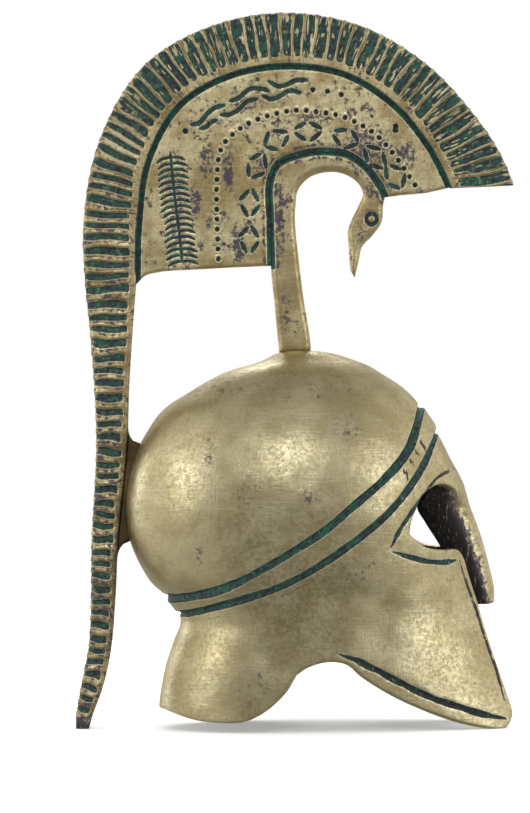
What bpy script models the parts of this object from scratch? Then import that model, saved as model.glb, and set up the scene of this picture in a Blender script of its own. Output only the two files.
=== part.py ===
"""Corinthian type Greek helmet with a swan neck crest, a desk-size bronze replica.

The helmet faces +X, +Z is up and y = 0 is its plane of symmetry. The origin is on the
floor, under the middle of the whole object's length. All sizes are in metres.
"""

import math

import bmesh
import bpy
import numpy as np

# Bowl, cheekpieces and neck guard
BOWL_HEIGHT = 0.1584        # floor under the cheek tips to the crown
BOWL_REAR = 0.0715          # bowl axis to the back of the bowl
BOWL_FRONT = 0.0835         # bowl axis to the front of the nasal
BOWL_HALF_WIDTH = 0.049     # plane of symmetry to the side of the bowl
WALL = 0.0038               # wall of the casting
BAND_RISE = 0.0011          # brow band above the bowl
BAND_GROOVE_WIDTH = 0.0026
BAND_GROOVE_DEPTH = 0.0013
NASAL_HALF_WIDTH = 0.0085
VALLEY_DEPTH = 0.0032       # dent between the neck guard and each cheekpiece
VALLEY_MIDDLE = (-0.04, 0.16)   # its reach and height
VALLEY_SPAN = (0.17, 0.15)      # how far it spreads in each
NASAL_NOSE = 0.6            # how far back the nasal's front is round, as a share of its depth
NASAL_BACK = 0.7            # width of the nasal's back, as a share of its front

# Crest
CREST_RISE = 0.1425         # crown to the top of the plume
CREST_FRONT = 0.0935        # bowl axis to the front tip of the plume
BRIDGE_SPAN = 0.0016        # back of the bowl to the tail, at the narrowest place
PLUME_WIDTH = 0.023         # inner edge to outer edge of the plume
PLUME_THICKNESS = 0.0092
FLUTE_PITCH = 0.0052
FLUTE_DEPTH = 0.0012
RIM_WIDTH = 0.0031          # plain rim inside the flutes
PLUME_EDGE = 0.6            # thickness at the plume's outer edge, as a share
PANEL_THICKNESS = 0.0074
NECK_BACK = 0.0100          # bowl axis to the back of the swan neck
HOOK_REACH = 0.0387         # bowl axis to the front of the bird's head
NECK_THICKNESS = 0.0090
NECK_BEVEL = 0.0014
BRIDGE_THICKNESS = 0.0052
SEAM = 0.0003               # clearance between neighbouring pieces

# Mesh density
COLUMNS = 64                # around the bowl
INNER_COLUMNS = 40
GUARD_ROWS = 8              # below the band
DOME_ROWS = 9               # above the band
INNER_ROWS = 12
LINE_STEPS = 12             # points between two table rows of a groove or of the plume
OUTLINE_STEPS = 6           # points between two table rows of an outline
STEEPEST_GROOVE = 2.2       # limit on how much a slanting groove is widened upright

# Level sections of the bowl. Height is a share of BOWL_HEIGHT, rear of BOWL_REAR, front of
# BOWL_FRONT and width of BOWL_HALF_WIDTH. Point is 1 for an oval front, more for a pointed one.
SECTIONS = [
    # height, rear, front, width, point
    (1.000, 0.000, 0.000, 0.000, 1.00),
    (0.994, 0.098, 0.168, 0.224, 1.00),
    (0.972, 0.200, 0.305, 0.370, 1.00),
    (0.941, 0.420, 0.425, 0.530, 1.00),
    (0.890, 0.630, 0.565, 0.690, 1.00),
    (0.833, 0.801, 0.652, 0.812, 1.00),
    (0.758, 0.909, 0.737, 0.918, 1.00),
    (0.669, 0.979, 0.812, 0.985, 1.08),
    (0.581, 1.000, 0.866, 1.000, 1.18),
    (0.505, 0.982, 0.900, 0.984, 1.28),
    (0.442, 0.930, 0.926, 0.958, 1.34),
    (0.391, 0.864, 0.950, 0.925, 1.36),
    (0.350, 0.766, 0.974, 0.895, 1.36),
    (0.316, 0.706, 0.998, 0.872, 1.36),
    (0.284, 0.686, 1.024, 0.860, 1.36),
    (0.227, 0.731, 1.080, 0.858, 1.36),
    (0.145, 0.786, 1.160, 0.868, 1.36),
    (0.057, 0.816, 1.255, 0.862, 1.36),
    (-0.060, 0.816, 1.370, 0.850, 1.36),
]

# Middle lines of the two grooves that edge the brow band, in the side view. Reach is a share of
# BOWL_FRONT, height a share of BOWL_HEIGHT.
UPPER_GROOVE = [
    # reach, height
    (-0.90, 0.350),
    (-0.62, 0.350),
    (-0.46, 0.364),
    (-0.31, 0.391),
    (-0.16, 0.432),
    (-0.01, 0.479),
    (0.14, 0.530),
    (0.29, 0.596),
    (0.42, 0.654),
    (0.56, 0.740),
    (0.620, 0.828),
    (0.640, 0.862),
]
LOWER_GROOVE = [
    (-0.90, 0.300),
    (-0.57, 0.308),
    (-0.41, 0.329),
    (-0.26, 0.352),
    (-0.11, 0.378),
    (0.04, 0.416),
    (0.19, 0.465),
    (0.34, 0.522),
    (0.49, 0.593),
    (0.64, 0.703),
    (0.708, 0.780),
    (0.735, 0.812),
]

# Lower edge of the casting in the side view, from the nape to the nasal root.
LOWER_EDGE = [
    # reach, height, corner
    (-1.20, 0.061, 0),
    (-0.68, 0.054, 0),
    (-0.51, 0.031, 0),
    (-0.38, 0.026, 0),
    (-0.27, 0.030, 0),
    (-0.17, 0.055, 0),
    (-0.06, 0.106, 0),
    (-0.005, 0.152, 1),
    (0.05, 0.171, 0),
    (0.15, 0.185, 0),
    (0.24, 0.179, 0),
    (0.32, 0.144, 0),
    (0.45, 0.100, 0),
    (0.60, 0.061, 0),
    (0.80, 0.021, 0),
    (0.97, 0.000, 1),
    (1.035, 0.000, 1),
    (1.074, 0.030, 0),
    (1.050, 0.090, 0),
    (0.990, 0.186, 0),
    (0.925, 0.300, 0),
    (0.865, 0.407, 0),
    (0.838, 0.452, 0),
    (0.808, 0.471, 0),
    (0.735, 0.472, 0),
    (0.650, 0.480, 0),
    (0.598, 0.498, 0),
    (0.563, 0.516, 1),
    (0.572, 0.545, 0),
    (0.600, 0.580, 0),
    (0.645, 0.618, 0),
    (0.700, 0.641, 0),
    (0.750, 0.642, 0),
    (0.800, 0.628, 1),
]

# Nasal, level by level: its front and back edges in the side view, and its half width.
NASAL = [
    # height, back, front, width
    (0.730, 0.700, 0.745, 0.70),
    (0.672, 0.700, 0.818, 0.92),
    (0.630, 0.660, 0.852, 1.00),
    (0.582, 0.612, 0.879, 1.00),
    (0.540, 0.652, 0.909, 0.98),
    (0.486, 0.716, 0.942, 0.94),
    (0.420, 0.782, 0.974, 0.88),
    (0.362, 0.846, 0.996, 0.80),
    (0.328, 0.880, 0.996, 0.74),
]

# Inner line of the plume, from under the floor at the tail to the front tip. Reach is a share of
# the tail's set-back behind the axis, and of CREST_FRONT before it. Level is 0 at the floor, 1 at
# the crown and 2 at the top of the plume. Width is a share of PLUME_WIDTH, and angle the way a
# flute runs from the inner edge to the outer one, in degrees, 0 forwards and 90 up.
PLUME = [
    # reach, level, width, angle
    (-1.222, -0.040, 0.17, 166),
    (-1.188, 0.025, 0.29, 166),
    (-1.123, 0.107, 0.40, 168),
    (-1.073, 0.208, 0.42, 173),
    (-1.045, 0.347, 0.45, 177),
    (-1.027, 0.492, 0.49, 177),
    (-1.000, 0.619, 0.52, 177),
    (-0.970, 0.745, 0.57, 178),
    (-0.955, 0.909, 0.645, 180),
    (-0.932, 1.067, 0.79, 181),
    (-0.908, 1.222, 0.95, 181),
    (-0.899, 1.362, 1.00, 177),
    (-0.836, 1.567, 0.965, 153),
    (-0.648, 1.732, 0.97, 131),
    (-0.356, 1.817, 0.965, 111),
    (-0.040, 1.8435, 0.968, 91),
    (0.235, 1.818, 0.93, 71),
    (0.460, 1.725, 0.95, 51),
    (0.615, 1.601, 1.02, 30),
    (0.676, 1.525, 1.12, 14),
    (0.708, 1.477, 1.17, 2),
]

# Back line of the swan neck, which is also the edge of the panel from its lower corner on.
# Reach is a share of NECK_BACK behind the axis and of HOOK_REACH before it.
NECK_OUTER = [
    # reach, level
    (-0.62, 0.975),
    (-0.69, 1.030),
    (-0.84, 1.150),
    (-0.95, 1.236),
    (-0.98, 1.386),
    (-0.97, 1.500),
    (-0.62, 1.552),
    (-0.12, 1.570),
    (0.24, 1.587),
    (0.41, 1.587),
    (0.57, 1.580),
    (0.68, 1.565),
    (0.79, 1.541),
    (0.89, 1.508),
    (0.97, 1.472),
    (1.00, 1.452),
]
PANEL_CORNER = 3            # row of NECK_OUTER at the panel's lower corner

# Front line of the swan neck, round the hook and the bird's head to the end of the back line.
NECK_INNER = [
    # reach, level, corner
    (0.18, 0.975, 1),
    (0.175, 1.020, 0),
    (0.098, 1.164, 0),
    (0.049, 1.283, 0),
    (0.018, 1.386, 0),
    (0.026, 1.430, 0),
    (0.055, 1.475, 0),
    (0.185, 1.513, 0),
    (0.405, 1.528, 0),
    (0.570, 1.520, 0),
    (0.708, 1.494, 0),
    (0.762, 1.464, 0),
    (0.705, 1.423, 0),
    (0.628, 1.380, 0),
    (0.594, 1.352, 0),
    (0.604, 1.296, 0),
    (0.622, 1.236, 0),
    (0.662, 1.214, 1),
    (0.705, 1.260, 0),
    (0.747, 1.305, 0),
    (0.855, 1.337, 0),
    (0.956, 1.375, 0),
    (0.979, 1.428, 0),
]

# Lower edges of the panel: reach as for the plume, and level.
PANEL_REAR_EDGE = [(-0.175, 1.251), (-0.54, 1.243), (-0.83, 1.231), (-0.866, 1.223)]
PANEL_TOE = 1.192           # level where the panel's rear corner runs out on the tail
PANEL_FRONT_EDGE = [(0.483, 1.457), (0.60, 1.463)]

# Bridge: its top, bottom and flare where it meets the tail, as levels
BRIDGE_TOP = 0.755
BRIDGE_BOTTOM = 0.498
BRIDGE_FLARE = 0.045
BRIDGE_ROOT = 0.80          # how far in it starts before the bowl is cut from it, of BOWL_REAR
# Corners of the flares, as shares of the flare: away from the tail, and up from the web's edge
BRIDGE_TOP_CORNERS = [(0.25, 0.3), (1.0, 0.0)]
BRIDGE_FOOT_CORNERS = [(0.5, 0.0), (0.15, -0.4)]


def clear_scene():
    """Remove everything that the scene starts with."""
    for thing in list(bpy.data.objects):
        bpy.data.objects.remove(thing, do_unlink=True)


def smooth(rows, steps, corners=None):
    """Run a curve through table rows, rounded at each row that isn't a corner."""
    rows = np.array(rows, float)
    last = len(rows) - 1
    if corners is None:
        corners = [0] * (last + 1)
    lines = []
    for i in range(last):
        start, end = rows[i], rows[i + 1]
        before = start - (end - start) if i == 0 or corners[i] else rows[i - 1]
        after = end + (end - start) if i == last - 1 or corners[i + 1] else rows[i + 2]
        share = (np.arange(steps) / steps)[:, None]
        span = max(np.linalg.norm((end - start)[:2]), 1e-9)
        lead = max(np.linalg.norm((start - before)[:2]), 1e-9)
        tail = max(np.linalg.norm((after - end)[:2]), 1e-9)
        leave = ((start - before) / lead + (end - start) / span) * 0.5 * span
        arrive = ((end - start) / span + (after - end) / tail) * 0.5 * span
        lines.append(
            start * (2 * share**3 - 3 * share**2 + 1)
            + leave * (share**3 - 2 * share**2 + share)
            + end * (3 * share**2 - 2 * share**3)
            + arrive * (share**3 - share**2)
        )
    lines.append(rows[-1:])
    return np.vstack(lines)


def level(share):
    """Height of a crest level: 0 is the floor, 1 the crown, 2 the top of the plume."""
    share = np.asarray(share, float)
    return np.where(share < 1, share * BOWL_HEIGHT, BOWL_HEIGHT + (share - 1) * CREST_RISE)


def reach(share, behind, before):
    """Distance along x of a share of the reach behind the axis or before it."""
    share = np.asarray(share, float)
    return np.where(share < 0, share * behind, share * before)


class Bowl:
    """The bowl's skin, grown outwards or inwards by a distance."""

    def __init__(self, grow=0.0):
        table = smooth(SECTIONS, 24)
        self.height = table[::-1, 0] * BOWL_HEIGHT
        self.height = self.height + grow * np.clip(table[::-1, 0] * 2 - 1, 0, 1)
        edge = np.clip(table[::-1, 3] * 6, 0, 1)
        self.rear = table[::-1, 1] * BOWL_REAR + grow * edge
        self.front = table[::-1, 2] * BOWL_FRONT + grow * edge
        self.width = table[::-1, 3] * BOWL_HALF_WIDTH + grow * edge
        self.point = table[::-1, 4]

    def at(self, turn, height):
        """Point of the skin at a turn from the front (0) to the nape (pi), and a height."""
        rear = np.interp(height, self.height, self.rear)
        front = np.interp(height, self.height, self.front)
        width = np.interp(height, self.height, self.width)
        point = np.interp(height, self.height, self.point)
        across = np.abs(np.sin(turn))
        sharp = np.where(np.cos(turn) > 0, across**point, across)
        x = np.cos(turn) * np.where(np.cos(turn) > 0, front, rear)
        y = np.sign(np.sin(turn)) * sharp * width
        return np.stack(np.broadcast_arrays(x, y, height), -1)

    def out(self, turn, height):
        """Unit vectors that point out of the skin."""
        step = 1e-3
        around = self.at(turn + step, height) - self.at(turn - step, height)
        up = self.at(turn, height + step) - self.at(turn, height - step)
        across = np.cross(around, up)
        return across / np.maximum(np.linalg.norm(across, axis=-1, keepdims=True), 1e-12)

    def groove(self, turn, table):
        """Height at which a groove's side view line crosses the skin, for each turn."""
        line = smooth(table, LINE_STEPS)
        reaches = line[:, 0] * BOWL_FRONT
        heights = line[:, 1] * BOWL_HEIGHT
        low = np.full(turn.shape, heights[0] * 0.9)
        high = np.full(turn.shape, BOWL_HEIGHT)
        for _ in range(30):
            middle = (low + high) / 2
            above = middle > np.interp(self.at(turn, middle)[..., 0], reaches, heights)
            high = np.where(above, middle, high)
            low = np.where(above, low, middle)
        return (low + high) / 2

    def half_groove(self, turn, height):
        """Half of the groove's width, measured upright across its slanting line."""
        line = self.at(turn, height)
        along = np.roll(line, -1, axis=0) - np.roll(line, 1, axis=0)
        level_run = np.hypot(along[:, 0], along[:, 1])
        slant = np.hypot(1, along[:, 2] / np.maximum(level_run, 1e-9))
        return BAND_GROOVE_WIDTH / 2 * np.minimum(slant, STEEPEST_GROOVE)


def valley(points):
    """Depth of the dents between the neck guard and the cheekpieces."""
    across = (points[..., 0] / BOWL_FRONT - VALLEY_MIDDLE[0]) / VALLEY_SPAN[0]
    up = (points[..., 2] / BOWL_HEIGHT - VALLEY_MIDDLE[1]) / VALLEY_SPAN[1]
    side = np.clip(np.abs(points[..., 1]) / BOWL_HALF_WIDTH, 0, 1) ** 2
    return VALLEY_DEPTH * np.exp(-(across**2) - up**2) * side


def skin_rows(skin, columns):
    """Rows of points up the outside, with the grooves and the raised band in them."""
    turn = np.linspace(0, 2 * math.pi, columns, endpoint=False)
    low = skin.groove(turn, LOWER_GROOVE)
    high = skin.groove(turn, UPPER_GROOVE)
    half_low = skin.half_groove(turn, low)
    half_high = skin.half_groove(turn, high)
    floor = skin.height[0]
    rows = []
    for step in range(GUARD_ROWS):
        share = step / GUARD_ROWS
        rows.append((floor + (low - half_low - floor) * share, 0.0))
    rows.append((low - half_low, 0.0))
    rows.append((low, -BAND_GROOVE_DEPTH))
    rows.append((low + half_low, BAND_RISE))
    rows.append(((low + half_low + high - half_high) / 2, BAND_RISE))
    rows.append((high - half_high, BAND_RISE))
    rows.append((high, -BAND_GROOVE_DEPTH))
    rows.append((high + half_high, 0.0))
    top = skin.height[-1]
    for step in range(1, DOME_ROWS):
        share = math.sin(math.pi / 2 * step / DOME_ROWS)
        rows.append((high + half_high + (top - high - half_high) * share, 0.0))
    loops = []
    for height, rise in rows:
        points = skin.at(turn, height)
        offset = rise - valley(points)
        loops.append(points + skin.out(turn, height) * offset[:, None])
    return loops


def plain_rows(skin, columns):
    """Rows of points up a smooth skin."""
    turn = np.linspace(0, 2 * math.pi, columns, endpoint=False)
    floor, top = skin.height[0], skin.height[-1]
    loops = []
    for step in range(INNER_ROWS):
        share = math.sin(math.pi / 2 * step / INNER_ROWS)
        height = np.full(columns, floor + (top - floor) * share)
        points = skin.at(turn, height)
        loops.append(points - skin.out(turn, height) * valley(points)[:, None])
    return loops


def add_loops(mesh, loops, flip=False):
    """Add rings of points to a mesh and join each ring to the next."""
    rings = [[mesh.verts.new(tuple(point)) for point in loop] for loop in loops]
    count = len(rings[0])
    for below, above in zip(rings, rings[1:]):
        for i in range(count):
            j = (i + 1) % count
            corners = (below[i], below[j], above[j], above[i])
            mesh.faces.new(tuple(reversed(corners)) if flip else corners)
    return rings


def add_fan(mesh, ring, tip, flip=False):
    """Close a ring with a fan of triangles to one point."""
    peak = mesh.verts.new(tip)
    for i, corner in enumerate(ring):
        trio = (corner, ring[(i + 1) % len(ring)], peak)
        mesh.faces.new(tuple(reversed(trio)) if flip else trio)


def new_object(name, mesh, material=None):
    """Turn a bmesh into an object of the scene, with its faces turned outwards."""
    bmesh.ops.recalc_face_normals(mesh, faces=mesh.faces)
    data = bpy.data.meshes.new(name)
    mesh.to_mesh(data)
    mesh.free()
    thing = bpy.data.objects.new(name, data)
    bpy.context.collection.objects.link(thing)
    if material is not None:
        data.materials.append(material)
        data.shade_smooth()
        data.set_sharp_from_angle(angle=math.radians(32))
    return thing


def bronze(name, colour, roughness):
    """Cast bronze of one colour and polish."""
    material = bpy.data.materials.new(name)
    material.use_nodes = True
    shader = material.node_tree.nodes["Principled BSDF"]
    shader.inputs["Base Color"].default_value = (*colour, 1)
    shader.inputs["Metallic"].default_value = 1.0
    shader.inputs["Roughness"].default_value = roughness
    material.diffuse_color = (*colour, 1)
    return material


def slab(name, outline, thickness, material=None):
    """A plate with a side view outline, centred on the plane of symmetry."""
    mesh = bmesh.new()
    ring = [mesh.verts.new((x, -thickness / 2, z)) for x, z in outline]
    face = mesh.faces.new(ring)
    grown = bmesh.ops.extrude_face_region(mesh, geom=[face])["geom"]
    moved = [item for item in grown if isinstance(item, bmesh.types.BMVert)]
    bmesh.ops.translate(mesh, verts=moved, vec=(0, thickness, 0))
    bmesh.ops.triangulate(mesh, faces=[f for f in mesh.faces if len(f.verts) > 4])
    return new_object(name, mesh, material)


def hide_tool(thing):
    """Show a cutter as wire only."""
    thing.hide_render = True
    thing.display_type = "WIRE"
    return thing


def boolean(thing, tool, operation):
    """Cut a tool out of a piece, or join it on."""
    step = thing.modifiers.new(operation.lower(), "BOOLEAN")
    step.operation = operation
    step.solver = "EXACT"
    step.object = hide_tool(tool)


def table_line(rows, behind, before, steps=OUTLINE_STEPS):
    """Side view curve through rows of reach, level and an optional corner mark."""
    marks = [row[2] for row in rows] if len(rows[0]) == 3 else None
    points = [(float(reach(row[0], behind, before)), float(level(row[1]))) for row in rows]
    return smooth(points, steps, marks)


def make_shell():
    """The hollow casting: bowl, band, neck guard, cheekpieces and nasal."""
    outside = Bowl()
    inside = Bowl(-WALL)
    mesh = bmesh.new()
    outer = add_loops(mesh, skin_rows(outside, COLUMNS))
    add_fan(mesh, outer[-1], (0, 0, BOWL_HEIGHT))
    inner = add_loops(mesh, plain_rows(inside, INNER_COLUMNS), flip=True)
    add_fan(mesh, inner[-1], (0, 0, BOWL_HEIGHT - WALL), flip=True)
    close_rim(mesh, outer[0], inner[0])
    shell = new_object("helmet_shell", mesh, bronze("polished bronze", (0.42, 0.36, 0.22), 0.34))
    edge = smooth(
        [(row[0] * BOWL_FRONT, row[1] * BOWL_HEIGHT) for row in LOWER_EDGE],
        OUTLINE_STEPS,
        [row[2] for row in LOWER_EDGE],
    )
    far = 3 * BOWL_FRONT
    around = [(far, edge[-1][1]), (far, -far), (-far, -far), (-far, edge[0][1])]
    waste = slab("waste below the edge", list(map(tuple, edge)) + around, 4 * BOWL_HALF_WIDTH)
    boolean(shell, waste, "DIFFERENCE")
    boolean(shell, make_nasal(), "UNION")
    return shell


def close_rim(mesh, outer, inner):
    """Join two rings with different counts by a band of triangles."""
    i = j = 0
    while i < len(outer) or j < len(inner):
        a, b = outer[i % len(outer)], inner[j % len(inner)]
        if j == len(inner) or (i < len(outer) and (i + 1) / len(outer) <= (j + 1) / len(inner)):
            i += 1
            mesh.faces.new((a, b, outer[i % len(outer)]))
        else:
            j += 1
            mesh.faces.new((a, b, inner[j % len(inner)]))


def make_nasal():
    """The nose guard: a deep bar with a round front and flat flanks."""
    mesh = bmesh.new()
    loops = []
    for height, back, front, width in smooth(NASAL, 2):
        x_back, x_front = back * BOWL_FRONT, front * BOWL_FRONT
        half = width * NASAL_HALF_WIDTH
        nose = min(half, NASAL_NOSE * (x_front - x_back))
        arc = [
            (x_front - nose + nose * math.cos(a), half * math.sin(a))
            for a in np.radians(np.linspace(-75, 75, 7))
        ]
        corners = [(x_back, NASAL_BACK * half), (x_back, -NASAL_BACK * half)]
        loops.append([(x, y, height * BOWL_HEIGHT) for x, y in arc + corners])
    rings = add_loops(mesh, loops)
    mesh.faces.new(rings[0])
    mesh.faces.new(list(reversed(rings[-1])))
    bmesh.ops.triangulate(mesh, faces=[f for f in mesh.faces if len(f.verts) > 4])
    return new_object("nasal bar", mesh)


def tail_set():
    """Set-back of the tail's inner edge behind the bowl axis."""
    return BOWL_REAR + BRIDGE_SPAN


def crest_points(rows):
    """Side view points of rows of reach and level that are measured as the plume's are."""
    return [(float(reach(a, tail_set(), CREST_FRONT)), float(level(b))) for a, b in rows]


def plume_line(steps):
    """The plume's inner points, widths and flute directions along its whole length."""
    rows = [
        (float(reach(a, tail_set(), CREST_FRONT)), float(level(b)), c * PLUME_WIDTH, d)
        for a, b, c, d in PLUME
    ]
    line = smooth(rows, steps)
    angle = np.radians(line[:, 3])
    return line[:, :2], line[:, 2], np.stack([np.cos(angle), np.sin(angle)], -1)


def make_plume():
    """The fluted plume and tail: ridges and valleys across a curved bar, with a plain rim."""
    inner, width, way = plume_line(LINE_STEPS)
    middle = inner + way * width[:, None] / 2
    length = np.concatenate([[0], np.cumsum(np.linalg.norm(np.diff(middle, axis=0), axis=1))])
    flutes = round(length[-1] / FLUTE_PITCH)
    places = np.linspace(0, length[-1], 2 * flutes + 1)
    loops = []
    for i, place in enumerate(places):
        x, z = (np.interp(place, length, inner[:, k]) for k in (0, 1))
        across = np.interp(place, length, width)
        dx, dz = (np.interp(place, length, way[:, k]) for k in (0, 1))
        half = PLUME_THICKNESS / 2
        dip = FLUTE_DEPTH if i % 2 else 0.0
        profile = [
            (0.0, half),
            (RIM_WIDTH, half),
            (RIM_WIDTH + FLUTE_DEPTH, half - dip),
            (across - FLUTE_DEPTH, half - dip),
            (across, PLUME_EDGE * half),
        ]
        ring = profile + [(w, -y) for w, y in reversed(profile)]
        loops.append([(x + dx * w, y, z + dz * w) for w, y in ring])
    mesh = bmesh.new()
    rings = add_loops(mesh, loops)
    mesh.faces.new(rings[0])
    mesh.faces.new(list(reversed(rings[-1])))
    cut = mesh.verts[:] + mesh.edges[:] + mesh.faces[:]
    bmesh.ops.bisect_plane(
        mesh, geom=cut, plane_co=(0, 0, 0), plane_no=(0, 0, -1), clear_outer=True
    )
    bmesh.ops.holes_fill(mesh, edges=[e for e in mesh.edges if e.is_boundary])
    bmesh.ops.triangulate(mesh, faces=[f for f in mesh.faces if len(f.verts) > 4])
    return new_object("crest_plume", mesh, bronze("green bronze", (0.16, 0.24, 0.18), 0.45))


def make_panel():
    """The plate under the arch, between the plume and the swan neck."""
    inner, _, way = plume_line(OUTLINE_STEPS)
    arch = inner - way * SEAM
    first = int(np.argmax(arch[:, 1] > float(level(PANEL_TOE))))
    arch = arch[first:-1]
    outer = table_line(NECK_OUTER[PANEL_CORNER:], NECK_BACK, HOOK_REACH)
    run = np.gradient(outer, axis=0)
    side = np.stack([-run[:, 1], run[:, 0]], -1) / np.linalg.norm(run, axis=1, keepdims=True)
    neck = outer + side * SEAM
    neck_part = [tuple(p) for p in neck[1:]]
    front = [p for p in crest_points(PANEL_FRONT_EDGE) if p[0] > neck_part[-1][0] + SEAM]
    outline = [tuple(p) for p in arch] + front[::-1] + neck_part[::-1] + crest_points(PANEL_REAR_EDGE)
    finish = bronze("engraved bronze", (0.36, 0.29, 0.17), 0.4)
    return slab("crest_panel", outline, PANEL_THICKNESS, finish)


def seat_tool(name):
    """The bowl's own skin, grown by the seam, to shape what stands on it."""
    mesh = bmesh.new()
    rings = add_loops(mesh, skin_rows(Bowl(SEAM), COLUMNS))
    add_fan(mesh, rings[-1], (0, 0, BOWL_HEIGHT + SEAM))
    mesh.faces.new(list(reversed(rings[0])))
    return new_object(name, mesh)


def make_holder():
    """The swan neck and bird's head, seated on the crown."""
    outer = table_line(NECK_OUTER, NECK_BACK, HOOK_REACH)
    inner = table_line(NECK_INNER, NECK_BACK, HOOK_REACH)
    outline = [tuple(p) for p in outer] + [tuple(p) for p in inner[::-1]]
    finish = bronze("swan bronze", (0.4, 0.33, 0.2), 0.36)
    holder = slab("crest_holder", outline, NECK_THICKNESS, finish)
    bevel = holder.modifiers.new("rounded edges", "BEVEL")
    bevel.width = NECK_BEVEL
    bevel.segments = 1
    bevel.limit_method = "ANGLE"
    bevel.angle_limit = math.radians(60)
    boolean(holder, seat_tool("crown seat"), "DIFFERENCE")
    return holder


def make_bridge():
    """The web between the tail and the back of the bowl."""
    inner, _, way = plume_line(OUTLINE_STEPS)
    edge = inner - way * SEAM
    edge = edge[: int(np.argmax(edge[:, 1]))]
    low, high = float(level(BRIDGE_BOTTOM)), float(level(BRIDGE_TOP))
    flare = BRIDGE_FLARE * BOWL_HEIGHT
    heights = np.linspace(low - flare, high + flare, 9)
    tail = [(float(np.interp(z, edge[:, 1], edge[:, 0])), float(z)) for z in heights]
    root = -BOWL_REAR * BRIDGE_ROOT
    top = [(tail[-1][0] + a * flare, high + b * flare) for a, b in BRIDGE_TOP_CORNERS]
    foot = [(tail[0][0] + a * flare, low + b * flare) for a, b in BRIDGE_FOOT_CORNERS]
    outline = tail + top + [(root, high), (root, low)] + foot
    finish = bronze("dark bronze", (0.08, 0.06, 0.04), 0.5)
    bridge = slab("tail_bridge", outline, BRIDGE_THICKNESS, finish)
    boolean(bridge, seat_tool("nape seat"), "DIFFERENCE")
    return bridge


def main():
    clear_scene()
    make_shell()
    make_holder()
    make_panel()
    make_plume()
    make_bridge()


main()
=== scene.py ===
# %% [markdown]
# # A bronze helmet with a swan neck crest
# The object is a desk-size cast of a Corinthian type Greek helmet. Its bowl is satin bronze,
# brushed bright, and its engraved lines and flutes hold verdigris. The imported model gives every
# solid its place, and this lesson builds the fine surface that stands for each of them.

# %% Load the frame
import math

import bmesh
import bpy
import numpy as np
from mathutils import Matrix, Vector
from mathutils.geometry import delaunay_2d_cdt


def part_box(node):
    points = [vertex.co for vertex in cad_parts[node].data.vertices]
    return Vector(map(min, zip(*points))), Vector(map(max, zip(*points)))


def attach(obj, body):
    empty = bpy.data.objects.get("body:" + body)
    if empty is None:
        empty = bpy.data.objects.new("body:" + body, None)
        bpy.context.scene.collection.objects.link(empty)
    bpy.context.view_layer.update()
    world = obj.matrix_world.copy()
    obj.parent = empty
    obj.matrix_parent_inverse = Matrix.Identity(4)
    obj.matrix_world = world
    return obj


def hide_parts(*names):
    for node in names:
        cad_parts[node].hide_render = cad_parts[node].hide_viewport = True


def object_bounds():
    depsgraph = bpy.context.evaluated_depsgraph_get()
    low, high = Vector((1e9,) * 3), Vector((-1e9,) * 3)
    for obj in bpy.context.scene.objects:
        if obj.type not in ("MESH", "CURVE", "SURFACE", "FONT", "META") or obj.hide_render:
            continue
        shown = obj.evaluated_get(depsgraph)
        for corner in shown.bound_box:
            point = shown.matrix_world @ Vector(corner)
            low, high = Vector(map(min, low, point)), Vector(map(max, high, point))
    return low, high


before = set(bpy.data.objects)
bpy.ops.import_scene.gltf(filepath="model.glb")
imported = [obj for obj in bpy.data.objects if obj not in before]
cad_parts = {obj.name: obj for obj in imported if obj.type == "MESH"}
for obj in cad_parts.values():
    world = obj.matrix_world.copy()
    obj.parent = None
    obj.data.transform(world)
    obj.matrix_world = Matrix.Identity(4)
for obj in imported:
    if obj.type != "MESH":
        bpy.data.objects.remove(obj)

cad_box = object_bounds()
MM = 0.001
shell_low, shell_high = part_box("helmet_shell")
plume_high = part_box("crest_plume")[1]
BOWL_HEIGHT = shell_high[2]
BOWL_REAR = -shell_low[0]
BOWL_HALF_WIDTH = shell_high[1]
TIP_REACH = 1.0755          # reach of the cheek tips, as a share of the nasal's
BOWL_FRONT = shell_high[0] / TIP_REACH
CREST_RISE = plume_high[2] - BOWL_HEIGHT
CREST_FRONT = 93.5 * MM     # bowl axis to the plume's front tip
TAIL_SET = BOWL_REAR + 1.6 * MM
NECK_BACK = 10.0 * MM       # bowl axis to the back of the neck
HOOK_REACH = 38.7 * MM      # bowl axis to the front of the bird's head
PLUME_WIDTH = 23.0 * MM
WALL = 3.8 * MM
MIRROR = (1, -1, 1)         # takes a point across the plane of symmetry
print("bowl", BOWL_HEIGHT, "high,", BOWL_REAR + BOWL_FRONT, "long; crest rises", CREST_RISE)

# %% [markdown]
# ## Curves through a few points
# Every outline on the casting is a free curve that a carver drew. A short table of points that
# the curve passes through keeps it easy to change. The curve is smooth at each point unless the
# row is marked as a corner.


# %% A curve through table rows
def smooth(rows, steps, corners=None):
    """Cubic pieces between rows: each leaves a row along the mean of the two unit chords there."""
    rows = np.array(rows, float)
    last = len(rows) - 1
    corners = [0] * (last + 1) if corners is None else corners
    share = (np.arange(steps) / steps)[:, None]
    lines = []
    for i in range(last):
        start, end = rows[i], rows[i + 1]
        before = start - (end - start) if i == 0 or corners[i] else rows[i - 1]
        after = end + (end - start) if i == last - 1 or corners[i + 1] else rows[i + 2]
        span = max(np.linalg.norm((end - start)[:2]), 1e-9)
        lead = max(np.linalg.norm((start - before)[:2]), 1e-9)
        tail = max(np.linalg.norm((after - end)[:2]), 1e-9)
        leave = ((start - before) / lead + (end - start) / span) * 0.5 * span
        arrive = ((end - start) / span + (after - end) / tail) * 0.5 * span
        lines.append(
            start * (2 * share**3 - 3 * share**2 + 1)
            + leave * (share**3 - 2 * share**2 + share)
            + end * (3 * share**2 - 2 * share**3)
            + arrive * (share**3 - share**2)
        )
    return np.vstack(lines + [rows[-1:]])


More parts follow.
